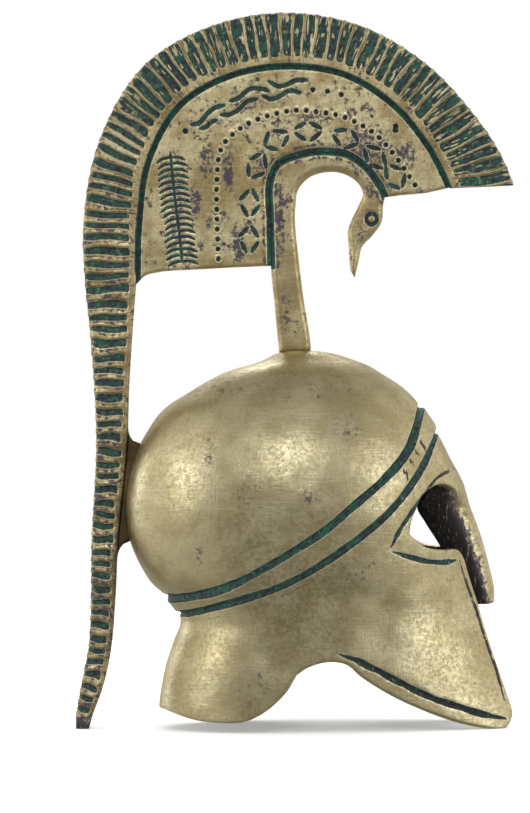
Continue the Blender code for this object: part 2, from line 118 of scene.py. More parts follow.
def level(share):
    """Height of a crest level: 0 is the floor, 1 the crown, 2 the top of the plume."""
    share = np.asarray(share, float)
    return np.where(share < 1, share * BOWL_HEIGHT, BOWL_HEIGHT + (share - 1) * CREST_RISE)


def reach(share, behind, before):
    """Distance along x of a share of the reach behind the axis or before it."""
    share = np.asarray(share, float)
    return np.where(share < 0, share * behind, share * before)


def along(line):
    """Length from the start of a line to each of its points."""
    return np.concatenate([[0], np.cumsum(np.linalg.norm(np.diff(line, axis=0), axis=1))])


def even(line, spacing):
    """The same line with points at an even spacing, its last point included."""
    length = along(line)
    count = max(2, round(length[-1] / spacing) + 1)
    places = np.linspace(0, length[-1], count)
    return np.stack([np.interp(places, length, line[:, k]) for k in range(line.shape[1])], -1)


# %% Distance from points to a line
def line_distance(points, line):
    """Distance of each point to a polyline: the nearest of its distances to the segments."""
    best = np.full(len(points), 1e9)
    for start, end in zip(line, line[1:]):
        way = end - start
        share = np.clip(((points - start) @ way) / max(way @ way, 1e-18), 0, 1)
        best = np.minimum(best, np.linalg.norm(points - start - share[:, None] * way, axis=1))
    return best


def end_distance(points, line):
    """Distance of each point to the nearer end of a line."""
    return np.linalg.norm(points[:, None] - line[None, (0, -1)], axis=2).min(axis=1)


def left_of(line, run=None):
    """Unit vectors square to a line, to its left: (-z, x) of its direction."""
    run = np.gradient(line, axis=0) if run is None else run
    return np.stack([-run[:, 1], run[:, 0]], -1) / np.linalg.norm(run, axis=1, keepdims=True)


def ease(value):
    """Smooth step: 0 below 0, 1 above 1, level at both ends."""
    value = np.clip(value, 0, 1)
    return value * value * (3 - 2 * value)


def cut(distance, half_width):
    """Share of a groove's depth at a distance from its middle: round at the bottom."""
    return 1 - ease(distance / half_width)


def round_off(distance, radius):
    """Drop of a rounded rim: a quarter circle, radius - sqrt(radius^2 - (radius - distance)^2)."""
    near = radius - np.minimum(distance, radius)
    return radius - np.sqrt(np.maximum(radius**2 - near**2, 0))


# %% [markdown]
# ## Trimmed skins
# The bowl's lower edge, the crest panel and the swan neck have free outlines. A grid would make
# stairs along them, so the inside of each outline is filled with triangles instead: the outline's
# own points, a few rows that follow it, and a staggered field of points over the rest. The rows
# near the outline let a rim be rounded.


# %% Fill an outline with triangles
ROW_STEP = 0.866            # rows of a staggered field are sqrt(3) / 2 of its spacing apart


def closed(outline):
    """The outline with its first point again at the end."""
    return np.vstack([outline, outline[:1]])


def anticlockwise(outline):
    """The outline in anticlockwise order, found from the sign of its area."""
    ahead = np.roll(outline, -1, axis=0)
    area = np.sum(outline[:, 0] * ahead[:, 1] - ahead[:, 0] * outline[:, 1])
    return outline if area > 0 else outline[::-1]


def inside(points, outline):
    """Even-odd rule: inside if a ray from the point crosses the outline an odd number of times."""
    odd = np.zeros(len(points), bool)
    for (ax, ay), (bx, by) in zip(outline, np.roll(outline, -1, axis=0)):
        if ay == by:
            continue
        crosses = (points[:, 1] < ay) != (points[:, 1] < by)
        odd ^= crosses & (points[:, 0] < ax + (points[:, 1] - ay) * (bx - ax) / (by - ay))
    return odd


def fill(outline, spacing, layers, extra=None, clear=None):
    """Points and triangles inside a closed outline that runs anticlockwise. Extra points follow
    fine lines, and clear says which points of the field make room for them."""
    inward = left_of(outline, np.roll(outline, -1, axis=0) - np.roll(outline, 1, axis=0))
    loop = closed(outline)
    free = []
    for layer in layers:
        row = outline + inward * layer
        keep = inside(row, outline) & (line_distance(row, loop) > 0.8 * layer)
        free.append(row[keep])
    low, high = outline.min(axis=0), outline.max(axis=0)
    across = np.arange(low[0], high[0], spacing)
    up = np.arange(low[1], high[1], spacing * ROW_STEP)
    grid = np.stack(np.meshgrid(across, up), -1)
    grid[1::2, :, 0] += spacing / 2
    grid = grid.reshape(-1, 2)
    grid = grid[inside(grid, outline)]
    grid = grid[line_distance(grid, loop) > layers[-1] + 0.7 * spacing]
    if extra is not None:
        grid = grid[~clear(grid)]
        extra = extra[inside(extra, outline)]
        free.append(extra[line_distance(extra, loop) > 1.2 * layers[-1]])
    free.append(grid)
    points = np.vstack([outline] + free)
    ring = list(range(len(outline)))
    found, _, faces, origins, _, _ = delaunay_2d_cdt(
        list(map(Vector, points.tolist())), [], [ring], 1, 1e-9
    )
    first = {source: new for new, group in enumerate(origins) for source in group}
    ring = np.array([first[i] for i in ring])
    return np.array(found), np.array(faces), ring


# %% [markdown]
# ## Meshes from arrays
# A finished piece is one closed mesh. Each point also carries two numbers that its material
# reads: recess, 1 at the bottom of a groove where verdigris and dirt sit, and soot, 1 where the
# dark patina was never polished away. Beside the seam of the panel and the neck the soot number
# holds painted shade instead.


# %% Make an object
MERGE_WITHIN = 0.002 * MM   # points nearer to each other than this become one
THINNEST = 0.3 * MM         # half thickness that a plate keeps under its deepest mark


def make_piece(name, points, faces, recess, soot_and_shade):
    """Merge coinciding points, turn the faces outwards and store the two point values."""
    data = bpy.data.meshes.new(name)
    data.from_pydata(points.tolist(), [], faces)
    for key, value in (("recess", recess), ("soot_and_shade", soot_and_shade)):
        layer = data.attributes.new(key, "FLOAT", "POINT")
        layer.data.foreach_set("value", np.asarray(value, np.float32))
    mesh = bmesh.new()
    mesh.from_mesh(data)
    bmesh.ops.remove_doubles(mesh, verts=mesh.verts, dist=MERGE_WITHIN)
    bmesh.ops.recalc_face_normals(mesh, faces=mesh.faces)
    mesh.to_mesh(data)
    mesh.free()
    data.shade_smooth()
    thing = bpy.data.objects.new(name, data)
    bpy.context.collection.objects.link(thing)
    count = sum(len(face.vertices) - 2 for face in data.polygons)
    print(name, "has", count, "triangles")
    return thing


def strip(first, second, closed=True):
    """Quads between two rows of point numbers."""
    if closed:
        first, second = np.append(first, first[0]), np.append(second, second[0])
    return np.stack([first[:-1], first[1:], second[1:], second[:-1]], -1).tolist()


def grid_faces(rows, columns, closed):
    """Quads of a grid of point numbers, rows by columns, closed round the columns or not."""
    number = np.arange(rows * columns).reshape(rows, columns)
    if closed:
        number = np.hstack([number, number[:, :1]])
    parts = [number[:-1, :-1], number[:-1, 1:], number[1:, 1:], number[1:, :-1]]
    return np.stack(parts, -1).reshape(-1, 4).tolist()


def end_faces(total, columns):
    """The two faces that close a tube of points at its first and its last ring."""
    return [list(range(columns)), list(range(total - columns, total))]


def make_plate(name, outline, half, radius, spacing, relief, layers=(0.25, 0.6, 1.0)):
    """A plate in the plane of symmetry. Its half thickness is rounded off at the rim, less the
    relief at each point."""
    points, faces, ring = fill(outline, spacing, [share * radius for share in layers])
    rim_far = line_distance(points, closed(outline))
    rim_far[ring] = 0
    depth, recess, soot_and_shade = relief(points)
    out = np.maximum(half - round_off(rim_far, radius) - depth, THINNEST)
    right = np.stack([points[:, 0], -out, points[:, 1]], -1)
    left = right * MIRROR
    count = len(points)
    solid = faces.tolist() + (faces[:, ::-1] + count).tolist() + strip(ring, ring + count)
    both = np.vstack([right, left])
    return make_piece(name, both, solid, np.tile(recess, 2), np.tile(soot_and_shade, 2))


# %% [markdown]
# ## The camera
# The photo was taken level with the middle of the object and from well back, so the near and far
# cheekpieces nearly line up. A long lens gives that. The picture leans by half a degree.

# %% Camera
PHOTO_PIXEL = 0.4215 * MM
PHOTO_HEIGHT = 813
CAMERA_BACK = 1.8
CAMERA_X, CAMERA_Z = -12.6 * MM, 134.9 * MM     # the point that the photo's middle shows
PHOTO_LEAN = math.radians(0.5)
camera_data = bpy.data.cameras.new("camera")
camera_data.sensor_fit = "VERTICAL"
camera_data.sensor_height = 36.0
camera_data.lens = camera_data.sensor_height * CAMERA_BACK / (PHOTO_HEIGHT * PHOTO_PIXEL)
camera = bpy.data.objects.new("camera", camera_data)
camera.location = (CAMERA_X, -CAMERA_BACK, CAMERA_Z)
camera.rotation_euler = (math.radians(90), PHOTO_LEAN, 0)
bpy.context.collection.objects.link(camera)
bpy.context.scene.camera = camera
print("lens", round(camera_data.lens, 1), "mm")

# %% [markdown]
# ## The bowl
# The bowl, neck guard and cheekpieces are one hollow casting. Level sections give its form: each
# is an oval whose front comes to more of a point lower down, where the cheekpieces meet the air.
# A point on the skin is found from its turn round the vertical axis and its height.

# %% Sections of the bowl
SECTIONS = [
    # height, rear, front, width, point
    (1.000, 0.000, 0.000, 0.000, 1.00),
    (0.994, 0.098, 0.168, 0.224, 1.00),
    (0.972, 0.200, 0.305, 0.370, 1.00),
    (0.941, 0.420, 0.425, 0.530, 1.00),
    (0.890, 0.630, 0.565, 0.690, 1.00),
    (0.833, 0.801, 0.652, 0.812, 1.00),
    (0.758, 0.909, 0.737, 0.918, 1.00),
    (0.669, 0.979, 0.812, 0.985, 1.08),
    (0.581, 1.000, 0.866, 1.000, 1.18),
    (0.505, 0.982, 0.900, 0.984, 1.28),
    (0.442, 0.930, 0.926, 0.958, 1.34),
    (0.391, 0.864, 0.950, 0.925, 1.36),
    (0.350, 0.766, 0.974, 0.895, 1.36),
    (0.316, 0.706, 0.998, 0.872, 1.36),
    (0.284, 0.686, 1.024, 0.860, 1.36),
    (0.227, 0.731, 1.080, 0.858, 1.36),
    (0.145, 0.786, 1.160, 0.868, 1.36),
    (0.057, 0.816, 1.255, 0.862, 1.36),
    (-0.060, 0.816, 1.370, 0.850, 1.36),
]
UPPER_GROOVE = [
    # reach, height
    (-0.90, 0.350), (-0.62, 0.350), (-0.46, 0.364), (-0.31, 0.391), (-0.16, 0.432),
    (-0.01, 0.479), (0.14, 0.530), (0.29, 0.596), (0.42, 0.654), (0.56, 0.740), (0.620, 0.828),
    (0.640, 0.862),
]
LOWER_GROOVE = [
    (-0.90, 0.300), (-0.57, 0.308), (-0.41, 0.329), (-0.26, 0.352), (-0.11, 0.378),
    (0.04, 0.416), (0.19, 0.465), (0.34, 0.522), (0.49, 0.593), (0.64, 0.703), (0.708, 0.780),
    (0.735, 0.812),
]
skin_table = smooth(SECTIONS, 24)[::-1]
skin_height = skin_table[:, 0] * BOWL_HEIGHT


def skin(turn, height):
    """Point of the bowl: an oval of the section's length and width at that height. In front the
    side reach is sin(turn) raised to the point value, which draws the oval to a point."""
    rear, front, width, point = (
        np.interp(height, skin_height, skin_table[:, k] * size)
        for k, size in ((1, BOWL_REAR), (2, BOWL_FRONT), (3, BOWL_HALF_WIDTH), (4, 1.0))
    )
    across = np.abs(np.sin(turn))
    sharp = np.where(np.cos(turn) > 0, across**point, across)
    x = np.cos(turn) * np.where(np.cos(turn) > 0, front, rear)
    y = np.sign(np.sin(turn)) * sharp * width
    return np.stack(np.broadcast_arrays(x, y, height), -1)


def outward(turn, height):
    """Unit vector out of the skin, from the cross product of its two directions."""
    step = 1e-3
    around = skin(turn + step, height) - skin(turn - step, height)
    up = skin(turn, height + step / 2) - skin(turn, height - step / 2)
    across = np.cross(around, up)
    length = np.linalg.norm(across, axis=-1, keepdims=True)
    return np.where(length > 1e-12, across / np.maximum(length, 1e-12), (0.0, 0.0, 1.0))


def turn_at(reach_x, height):
    """Turn at which the skin has a given x at a given height."""
    front = np.interp(height, skin_height, skin_table[:, 2] * BOWL_FRONT)
    rear = np.interp(height, skin_height, skin_table[:, 1] * BOWL_REAR)
    share = np.where(reach_x > 0, reach_x / front, reach_x / rear)
    return np.arccos(np.clip(share, -1, 1))


def groove_height(turn, table):
    """Height at which a groove's side view line crosses the skin, found by halving."""
    line = smooth(table, 12)
    low = np.full(turn.shape, line[0, 1] * 0.9 * BOWL_HEIGHT)
    high = np.full(turn.shape, BOWL_HEIGHT)
    for _ in range(36):
        middle = (low + high) / 2
        wanted = np.interp(skin(turn, middle)[..., 0], line[:, 0] * BOWL_FRONT, line[:, 1])
        above = middle > wanted * BOWL_HEIGHT
        high = np.where(above, middle, high)
        low = np.where(above, low, middle)
    return (low + high) / 2


# %% Rows of the band and the dome
COLUMNS = 320
GROOVE_HALF = 1.55 * MM
GROOVE_REACH = 1.35         # its rows run this many half widths to each side
GROOVE_DEPTH = 1.35 * MM
STEEPEST = 2.2              # limit on a slanting groove's upright width
BAND_RISE = 1.1 * MM
turns = np.linspace(0, 2 * math.pi, COLUMNS, endpoint=False)
turns = turns - 0.4 * np.sin(turns)     # closer together at the brow than at the nape
low_groove = groove_height(turns, LOWER_GROOVE)
high_groove = groove_height(turns, UPPER_GROOVE)


def slant(height):
    """How much longer a groove's width is when measured upright across its slanting line."""
    line = skin(turns, height)
    run = np.roll(line, -1, axis=0) - np.roll(line, 1, axis=0)
    flat = np.maximum(np.hypot(run[:, 0], run[:, 1]), 1e-9)
    return np.minimum(np.hypot(1, run[:, 2] / flat), STEEPEST)


def hand(turn, seed):
    """Slow waver of a hand-cut line, between about -1 and 1."""
    slow = 0.5 * np.sin(9 * turn + seed) + 0.3 * np.sin(23 * turn + 2 * seed)
    return slow + 0.2 * np.sin(61 * turn)


low_half = GROOVE_HALF * slant(low_groove) * (1.05 + 0.12 * hand(turns, 1.0))
high_half = GROOVE_HALF * slant(high_groove) * (0.95 + 0.14 * hand(turns, 2.0))
FOOT_ROW = low_groove - low_half - 2.5 * MM
GROOVE_STEPS = np.linspace(-GROOVE_REACH, GROOVE_REACH, 13)
DOME_ROWS = 78
rows, rises, marks, blacks = [], [], [], []


def add_row(heights, rise, mark=0.0, black=0.0):
    """Keep a row of heights with its rise above the skin, its recess and its soot."""
    rows.append(heights)
    rises.append(rise)
    marks.append(mark)
    blacks.append(black)


def groove_rows(middle, half, below, above):
    """Rows across one groove. The metal steps from one rise to the other over its width."""
    for step in GROOVE_STEPS:
        deep = cut(abs(step), 1.1)
        side = below + (above - below) * ease(step / 1.3 + 0.5)
        mark = ease((1.2 - abs(step)) / 0.4)
        black = (0.75 if step < 0 else 0.45) * np.exp(-(((abs(step) - 0.9) / 0.22) ** 2))
        add_row(middle + half * step, side - GROOVE_DEPTH * deep, mark, black)


def plain_rows(start, end, shares, rise):
    """Plain rows at shares of the way from one row of heights to another."""
    for share in shares:
        add_row(start + (end - start) * share, rise)


low_top = low_groove + GROOVE_REACH * low_half
high_foot = high_groove - GROOVE_REACH * high_half
dome_foot = high_groove + GROOVE_REACH * high_half
dome_shares = np.sin(math.pi / 2 * np.arange(1, DOME_ROWS) / DOME_ROWS)
plain_rows(FOOT_ROW, low_groove - GROOVE_REACH * low_half, np.linspace(0, 1, 5)[:-1], 0.0)
groove_rows(low_groove, low_half, 0.0, BAND_RISE)
plain_rows(low_top, high_foot, np.linspace(0, 1, 16)[1:-1], BAND_RISE)
groove_rows(high_groove, high_half, BAND_RISE, 0.0)
plain_rows(dome_foot, BOWL_HEIGHT, dome_shares, 0.0)
rows = np.array(rows)
print("band and dome have", rows.shape[0], "rows of", COLUMNS)

# %% [markdown]
# ## Dents and engraved lines of the bowl
# The wax was modelled by hand, so the bowl isn't a pure oval. A soft valley parts the neck guard
# from each cheekpiece, a bump sits above the notch, and thin lines are engraved round the eyes and
# inside the edges of the cheeks. All are read in the side view, where the carver drew them.

# %% Lines on the cheeks
BROW_CREASE = [(0.800, 0.683), (0.740, 0.671), (0.699, 0.658), (0.665, 0.638), (0.614, 0.604)]
BROW_LINE = [(0.665, 0.634), (0.614, 0.600), (0.554, 0.560), (0.504, 0.520), (0.473, 0.487)]
EYE_LINE = [(0.489, 0.468), (0.562, 0.455), (0.661, 0.441), (0.760, 0.439), (0.800, 0.443)]
CHEEK_FRONT_LINE = [(0.816, 0.441), (0.859, 0.367), (0.907, 0.294), (0.956, 0.210), (1.004, 0.136),
                    (1.030, 0.075)]
CHEEK_FOOT_LINE = [(0.211, 0.205), (0.310, 0.184), (0.408, 0.157), (0.508, 0.128), (0.655, 0.089),
                   (0.804, 0.060), (0.952, 0.035), (1.031, 0.026)]
ENGRAVED = [
    # line, half width, depth and tapered ends in mm, verdigris, soot
    (BROW_CREASE, 0.60, 0.45, 4, 0.0, 0.75),
    (BROW_LINE, 0.95, 0.65, 5, 1.0, 0.5),
    (EYE_LINE, 1.05, 0.70, 4, 1.0, 0.5),
    (CHEEK_FRONT_LINE, 0.55, 0.45, 12, 0.0, 0.75),
    (CHEEK_FOOT_LINE, 1.30, 0.95, 10, 1.0, 0.6),
]
engraved_lines = [
    (smooth(np.array(table) * (BOWL_FRONT, BOWL_HEIGHT), 8), half * MM, deep * MM, taper * MM, *rest)
    for table, half, deep, taper, *rest in ENGRAVED
]


def side_lines(points):
    """Depth, recess and soot of the engraved lines: round grooves, narrow towards their ends."""
    depth, mark, black = np.zeros((3, len(points)))
    side = points[:, (0, 2)]
    for line, half, deep, taper, green, dark in engraved_lines:
        width = half * (0.4 + 0.6 * ease(end_distance(side, line) / taper))
        waver = 1 + 0.1 * np.sin(side[:, 0] / (1.9 * MM)) + 0.06 * np.sin(side[:, 1] / (0.8 * MM))
        near = line_distance(side, line) / (width * waver)
        depth = np.maximum(depth, deep * cut(near, 1.15) * width / half)
        mark = np.maximum(mark, green * ease((1.3 - near) / 0.6))
        black = np.maximum(black, dark * ease((1.5 - near) / 0.7))
    return depth, mark, black


def blob(points, reach_x, height, wide, tall):
    """A soft round hill in the side view, 1 at its top, fading over wide and tall."""
    across = (points[:, 0] / BOWL_FRONT - reach_x) / wide
    up = (points[:, 2] / BOWL_HEIGHT - height) / tall
    side = np.clip(np.abs(points[:, 1]) / BOWL_HALF_WIDTH, 0, 1) ** 2
    return np.exp(-(across**2) - up**2) * side


DENTS = [
    # reach, height, width, tallness, depth
    (-0.04, 0.16, 0.17, 0.15, 3.2 * MM),
    (0.15, 0.355, 0.20, 0.030, 0.9 * MM),
    (0.14, 0.275, 0.13, 0.060, -1.0 * MM),
    (0.42, 0.30, 0.10, 0.14, 0.8 * MM),
]
STAINS = [
    # x, z, width, tallness in mm, soot
    (-35.8, 115.2, 3.0, 10.0, 0.32),
    (5.7, 97.4, 6.0, 3.2, 0.36),
    (20.9, 126.8, 7.0, 8.0, 0.32),
    (-19.9, 98.6, 8.0, 11.0, 0.28),
    (-40.2, 73.2, 3.0, 7.0, 0.32),
    (-26.2, 75.7, 5.0, 7.0, 0.30),
    (-7.0, 142.0, 40.0, 7.0, 0.28),
    (21.7, 64.2, 16.0, 9.0, 0.32),
    (-18.0, 18.0, 12.0, 12.0, 0.28),
]


def stains(side, table):
    """Soot of stains in the side view: flat in the middle and falling at the edge, as e to the
    minus fourth power of the distance from the middle in widths and heights."""
    hills = [
        soot_and_shade * np.exp(-((((side[:, 0] - x) / wide) ** 2 + ((side[:, 1] - z) / tall) ** 2) ** 2))
        for x, z, wide, tall, soot_and_shade in table
    ]
    return np.max(hills, axis=0)


PROW = [
    # height, how far the brow's middle stands before the oval
    (0.560, 1.3 * MM),
    (0.630, 1.5 * MM),
    (0.672, 0.8 * MM),
    (0.715, 0.0),
]


def dents(points):
    """Depth of all dents together, and of the small waves that hand finishing leaves: products
    of sines of two directions. The brow's prow is a dent outwards, round the plane of symmetry."""
    x, y, z = points.T / MM
    total = sum(
        depth * blob(points, reach_x, height, wide, tall)
        for reach_x, height, wide, tall, depth in DENTS
    )
    total = total + 0.07 * MM * np.sin(x / 2.9 + 0.8) * np.sin(z / 2.3 + 0.4 * np.abs(y) / 3)
    total = total + 0.12 * MM * np.sin(x / 6.1 + z / 9 + 2) * np.sin(z / 5.2 - x / 14)
    prow = np.interp(points[:, 2] / BOWL_HEIGHT, *zip(*PROW), left=0, right=0)
    return total - prow * np.exp(-((y / 9) ** 2)) * (x > 0)


# %% Lower edge and chart of the guard and cheekpieces
LOWER_EDGE = [
    # reach, height, corner
    (-0.68, 0.054, 0), (-0.51, 0.031, 0), (-0.38, 0.026, 0), (-0.27, 0.030, 0),
    (-0.17, 0.055, 0), (-0.06, 0.106, 0), (-0.005, 0.152, 1), (0.05, 0.171, 0),
    (0.15, 0.185, 0), (0.24, 0.179, 0), (0.32, 0.144, 0), (0.45, 0.100, 0), (0.60, 0.061, 0),
    (0.80, 0.021, 0), (0.97, 0.000, 1), (1.035, 0.000, 0), (1.074, 0.030, 0), (1.050, 0.090, 0),
    (0.990, 0.186, 0), (0.925, 0.300, 0), (0.865, 0.407, 0), (0.838, 0.452, 0),
    (0.808, 0.471, 0), (0.735, 0.472, 0), (0.650, 0.480, 0), (0.598, 0.498, 0),
    (0.563, 0.516, 1), (0.572, 0.545, 0), (0.600, 0.580, 0), (0.645, 0.618, 0),
    (0.700, 0.641, 0), (0.750, 0.642, 0), (0.800, 0.628, 1),
]
CHART_SPACING = 0.95 * MM
LINING_SPACING = 2.4 * MM
CHART_TURN = 52 * MM        # chart width of one radian of turn
RIM = 0.95 * MM             # radius of the rim's edges
RIM_ROWS = (0.25 * MM, 0.6 * MM, 1.0 * MM)
edge_line = smooth(
    [(a * BOWL_FRONT, b * BOWL_HEIGHT) for a, b, _ in LOWER_EDGE], 14, [c for *_, c in LOWER_EDGE]
)
edge_turn = turn_at(edge_line[:, 0], edge_line[:, 1])
edge_turn = np.append(edge_turn, 0.0)
edge_high = np.append(edge_line[:, 1], edge_line[-1, 1])
nape = np.array([[math.pi, edge_high[0]]])
edge_chart = np.vstack([nape, np.stack([edge_turn, edge_high], -1)]) * (CHART_TURN, 1)
edge_chart = even(edge_chart, 0.55 * MM)
half_turns = turns[: COLUMNS // 2 + 1]
top_chart = np.stack([half_turns * CHART_TURN, FOOT_ROW[: COLUMNS // 2 + 1]], -1)
front_side = np.linspace(edge_chart[-1], top_chart[0], 12)[1:-1]
nape_side = np.linspace(top_chart[-1], edge_chart[0], 42)[1:-1]
chart_outline = anticlockwise(np.vstack([edge_chart, front_side, top_chart, nape_side])[::-1])
fine_rows = []
for line, half, *_ in engraved_lines:
    line = even(line, 0.5 * MM)
    for step in np.linspace(-GROOVE_REACH, GROOVE_REACH, 7):
        row = line + left_of(line) * half * step
        fine_rows.append(np.stack([turn_at(row[:, 0], row[:, 1]) * CHART_TURN, row[:, 1]], -1))


def by_a_line(grid):
    """True for chart points that lie in an engraved line."""
    side = skin(grid[:, 0] / CHART_TURN, grid[:, 1])[:, (0, 2)]
    near = [line_distance(side, line) < 1.7 * half for line, half, *_ in engraved_lines]
    return np.any(near, axis=0)


chart, chart_faces, chart_ring = fill(
    chart_outline, CHART_SPACING, RIM_ROWS, np.vstack(fine_rows), by_a_line
)
inner_chart, inner_faces, inner_ring = fill(chart_outline, LINING_SPACING, RIM_ROWS)
print("guard and cheeks have", len(chart_faces), "triangles outside,", len(inner_faces), "inside")

# %% Build the casting
TICKS = [
    # short cuts between the two grooves, in mm of the side view
    [(43.9, 108.1), (45.6, 104.3)],
    [(46.4, 111.9), (48.0, 110.3)],
    [(48.9, 115.4), (50.3, 113.8)],
    [(51.2, 119.6), (53.2, 115.7)],
]
LINING_STEP = 5             # the lining keeps every fifth row of the dome
INSIDE_SOOT = 0.85
rim_line = skin(edge_chart[:, 0] / CHART_TURN, edge_chart[:, 1])


def guard(places):
    """Skin points, outward vectors, depth of the dents and drop of the rounded rim."""
    turn, height = places[:, 0] / CHART_TURN, places[:, 1]
    base = skin(turn, height)
    return base, outward(turn, height), dents(base), round_off(line_distance(base, rim_line), RIM)


base, out, dent, drop = guard(chart)
line_depth, line_mark, line_soot = side_lines(base)
line_soot = np.maximum(line_soot, stains(base[:, (0, 2)] / MM, STAINS))
guard_skin = base - out * (dent + line_depth + drop)[:, None]
base, out, dent, drop = guard(inner_chart)
lining_soot = 0.2 + (INSIDE_SOOT - 0.2) * ease(line_distance(base, rim_line) / (5 * MM))
guard_lining = base - out * (dent + WALL - drop)[:, None]
for skin_points in (guard_skin, guard_lining):
    skin_points[:, 2] = np.maximum(skin_points[:, 2], 0)

dome_base = skin(turns[None, :], rows)
dome_out = outward(np.broadcast_to(turns, rows.shape), rows)
dome_side = dome_base.reshape(-1, 3)[:, (0, 2)] / MM
tick_far = np.min([line_distance(dome_side, np.array(tick)) for tick in TICKS], axis=0)
dome_soot = np.maximum(0.85 * ease((0.7 - tick_far) / 0.4), np.repeat(blacks, COLUMNS))
dome_soot = np.maximum(dome_soot, stains(dome_side, STAINS))
dome_dent = dents(dome_base.reshape(-1, 3)).reshape(rows.shape)
dome_skin = dome_base + dome_out * (np.array(rises)[:, None] - dome_dent)[..., None]
lining_rows = np.unique(np.append(np.arange(0, len(rows), LINING_STEP), len(rows) - 1))
dome_lining = (dome_base - dome_out * (dome_dent + WALL)[..., None])[lining_rows]

points = [guard_skin, guard_skin * MIRROR, guard_lining, guard_lining * MIRROR]
starts = np.cumsum([0] + [len(part) for part in points])
faces = [
    face
    for part, start in zip((chart_faces, chart_faces, inner_faces, inner_faces), starts)
    for face in (part + start).tolist()
]
apart = np.linalg.norm(chart_outline[:, None] - edge_chart[None], axis=2)
is_rim = apart.min(axis=1) < 0.02 * MM
order = np.argsort(apart.argmin(axis=1)[is_rim])
for side in (0, 1):
    outer, inner = chart_ring[is_rim][order], inner_ring[is_rim][order]
    faces += strip(outer + starts[side], inner + starts[side + 2], closed=False)
base = starts[4]
for skin_rows in (dome_skin, dome_lining):
    count = skin_rows.shape[0]
    faces += [[base + n for n in face] for face in grid_faces(count, COLUMNS, True)]
    points.append(skin_rows.reshape(-1, 3))
    peak = base + count * COLUMNS
    last = peak - COLUMNS + np.arange(COLUMNS)
    faces += np.stack([last, np.roll(last, -1), np.full(COLUMNS, peak)], -1).tolist()
    height = BOWL_HEIGHT - (0 if skin_rows is dome_skin else WALL)
    points.append(np.array([[0.0, 0.0, height]]))
    base = peak + 1
inner_count, lining_count = len(inner_chart), len(points[-2]) + 1
shell_recess = np.concatenate([
    np.tile(line_mark, 2), np.zeros(2 * inner_count), np.repeat(marks, COLUMNS),
    np.zeros(1 + lining_count),
])
shell_soot = np.concatenate([
    np.tile(line_soot, 2), np.tile(lining_soot, 2), dome_soot, [0], np.full(lining_count, INSIDE_SOOT)
])
shell_points = np.vstack(points)
shell_points[:, 1] = np.clip(shell_points[:, 1], cad_box[0][1], cad_box[1][1])
shell = make_piece("helmet_casting", shell_points, faces, shell_recess, shell_soot)

# %% [markdown]
# ## The nasal
# The nose guard is a deep bar: its front is round and polished, and its flanks are flat and black.
# It is a profile carried down a line. The profile is a half round nose on a slab that narrows to
# the back, and the table gives the two edges of the bar at each height.

# %% Nasal bar
NASAL_HALF = 8.5 * MM
LIP_HALF = 12.4 * MM        # widest that the bar gets where it grows out of the brow
NASAL = [
    # height, back, front, width
    (0.735, 0.690, 0.735, 0.70),
    (0.700, 0.700, 0.788, 0.86),
    (0.672, 0.700, 0.820, 0.94),
    (0.630, 0.660, 0.853, 1.00),
    (0.582, 0.612, 0.879, 1.00),
    (0.540, 0.652, 0.909, 0.98),
    (0.486, 0.716, 0.942, 0.94),
    (0.420, 0.782, 0.974, 0.88),
    (0.362, 0.846, 0.996, 0.80),
    (0.328, 0.880, 0.996, 0.74),
]
BLACK_FROM = [
    # height, share of the bar's depth behind which the flank is black
    (0.33, 0.16),
    (0.50, 0.10),
    (0.58, 0.12),
    (0.64, 0.22),
]
ROUND = np.linspace(0, 2 * math.pi, 112, endpoint=False)


def prow_half(height, x):
    """Half width of the dented bowl at places x along its front, at one height."""
    turn = np.linspace(0, 0.9, 80)
    heights = np.full(len(turn), height)
    level_line = skin(turn, heights)
    level_line = level_line - outward(turn, heights) * dents(level_line)[:, None]
    return np.interp(x, level_line[::-1, 0], level_line[::-1, 1])


def nasal_ring(height, back, front, half, shrink=1.0):
    """Ring at one height: a rounded oblong, |x|^3 + |y|^3 = 1, narrower at its back. Near the
    brow it takes the bowl's own half width, so the bar grows out of the brow."""
    middle, deep = (back + front) / 2, (front - back) / 2
    cos, sin = np.cos(ROUND), np.sin(ROUND)
    scale = (np.abs(cos) ** 3 + np.abs(sin) ** 3) ** (-1 / 3)
    x, y = cos * scale * shrink, sin * scale * shrink
    wedge = 1 - 0.26 * ease((0.2 - x) / 1.2) - 0.10 * ease((x - 0.3) / 0.7)
    oblong = half * np.abs(y) * wedge
    brow = np.minimum(prow_half(height, middle + deep * x) - 0.10 * MM, LIP_HALF)
    brow = np.maximum(brow, 0) * np.where(x < 0, np.clip(np.abs(y) * 1.5, 0, 1), 1)
    share = ease((height / BOWL_HEIGHT - 0.575) / 0.055)
    width = oblong + (brow - oblong) * share
    return np.stack([middle + deep * x, np.sign(y) * width, np.full(len(ROUND), height)], -1)


bar_table = smooth(NASAL, 12)
bar_rings = [
    nasal_ring(h * BOWL_HEIGHT, b * BOWL_FRONT, f * BOWL_FRONT, w * NASAL_HALF)
    for h, b, f, w in bar_table
]
height, back, front, width = bar_table[-1]
END_ROUND = 1.6 * MM        # how far the lower end rounds off downwards
END_SET_BACK = 1.5 * MM     # and backwards
for turn in np.linspace(0, math.pi / 2, 10)[1:]:
    closing = 1 - math.cos(turn)
    bar_rings.append(nasal_ring(
        height * BOWL_HEIGHT - END_ROUND * (math.sin(turn) - 0.4), back * BOWL_FRONT,
        front * BOWL_FRONT - END_SET_BACK * closing, width * NASAL_HALF, 1 - 0.2 * closing,
    ))
bar_points = np.vstack(bar_rings)
bar_faces = grid_faces(len(bar_rings), len(ROUND), True)
bar_faces += end_faces(len(bar_points), len(ROUND))
bar_front, bar_back = (
    np.interp(bar_points[:, 2], bar_table[::-1, 0] * BOWL_HEIGHT, bar_table[::-1, k] * BOWL_FRONT)
    for k in (2, 1)
)
bar_share = (bar_front - bar_points[:, 0]) / np.maximum(bar_front - bar_back, 1 * MM)
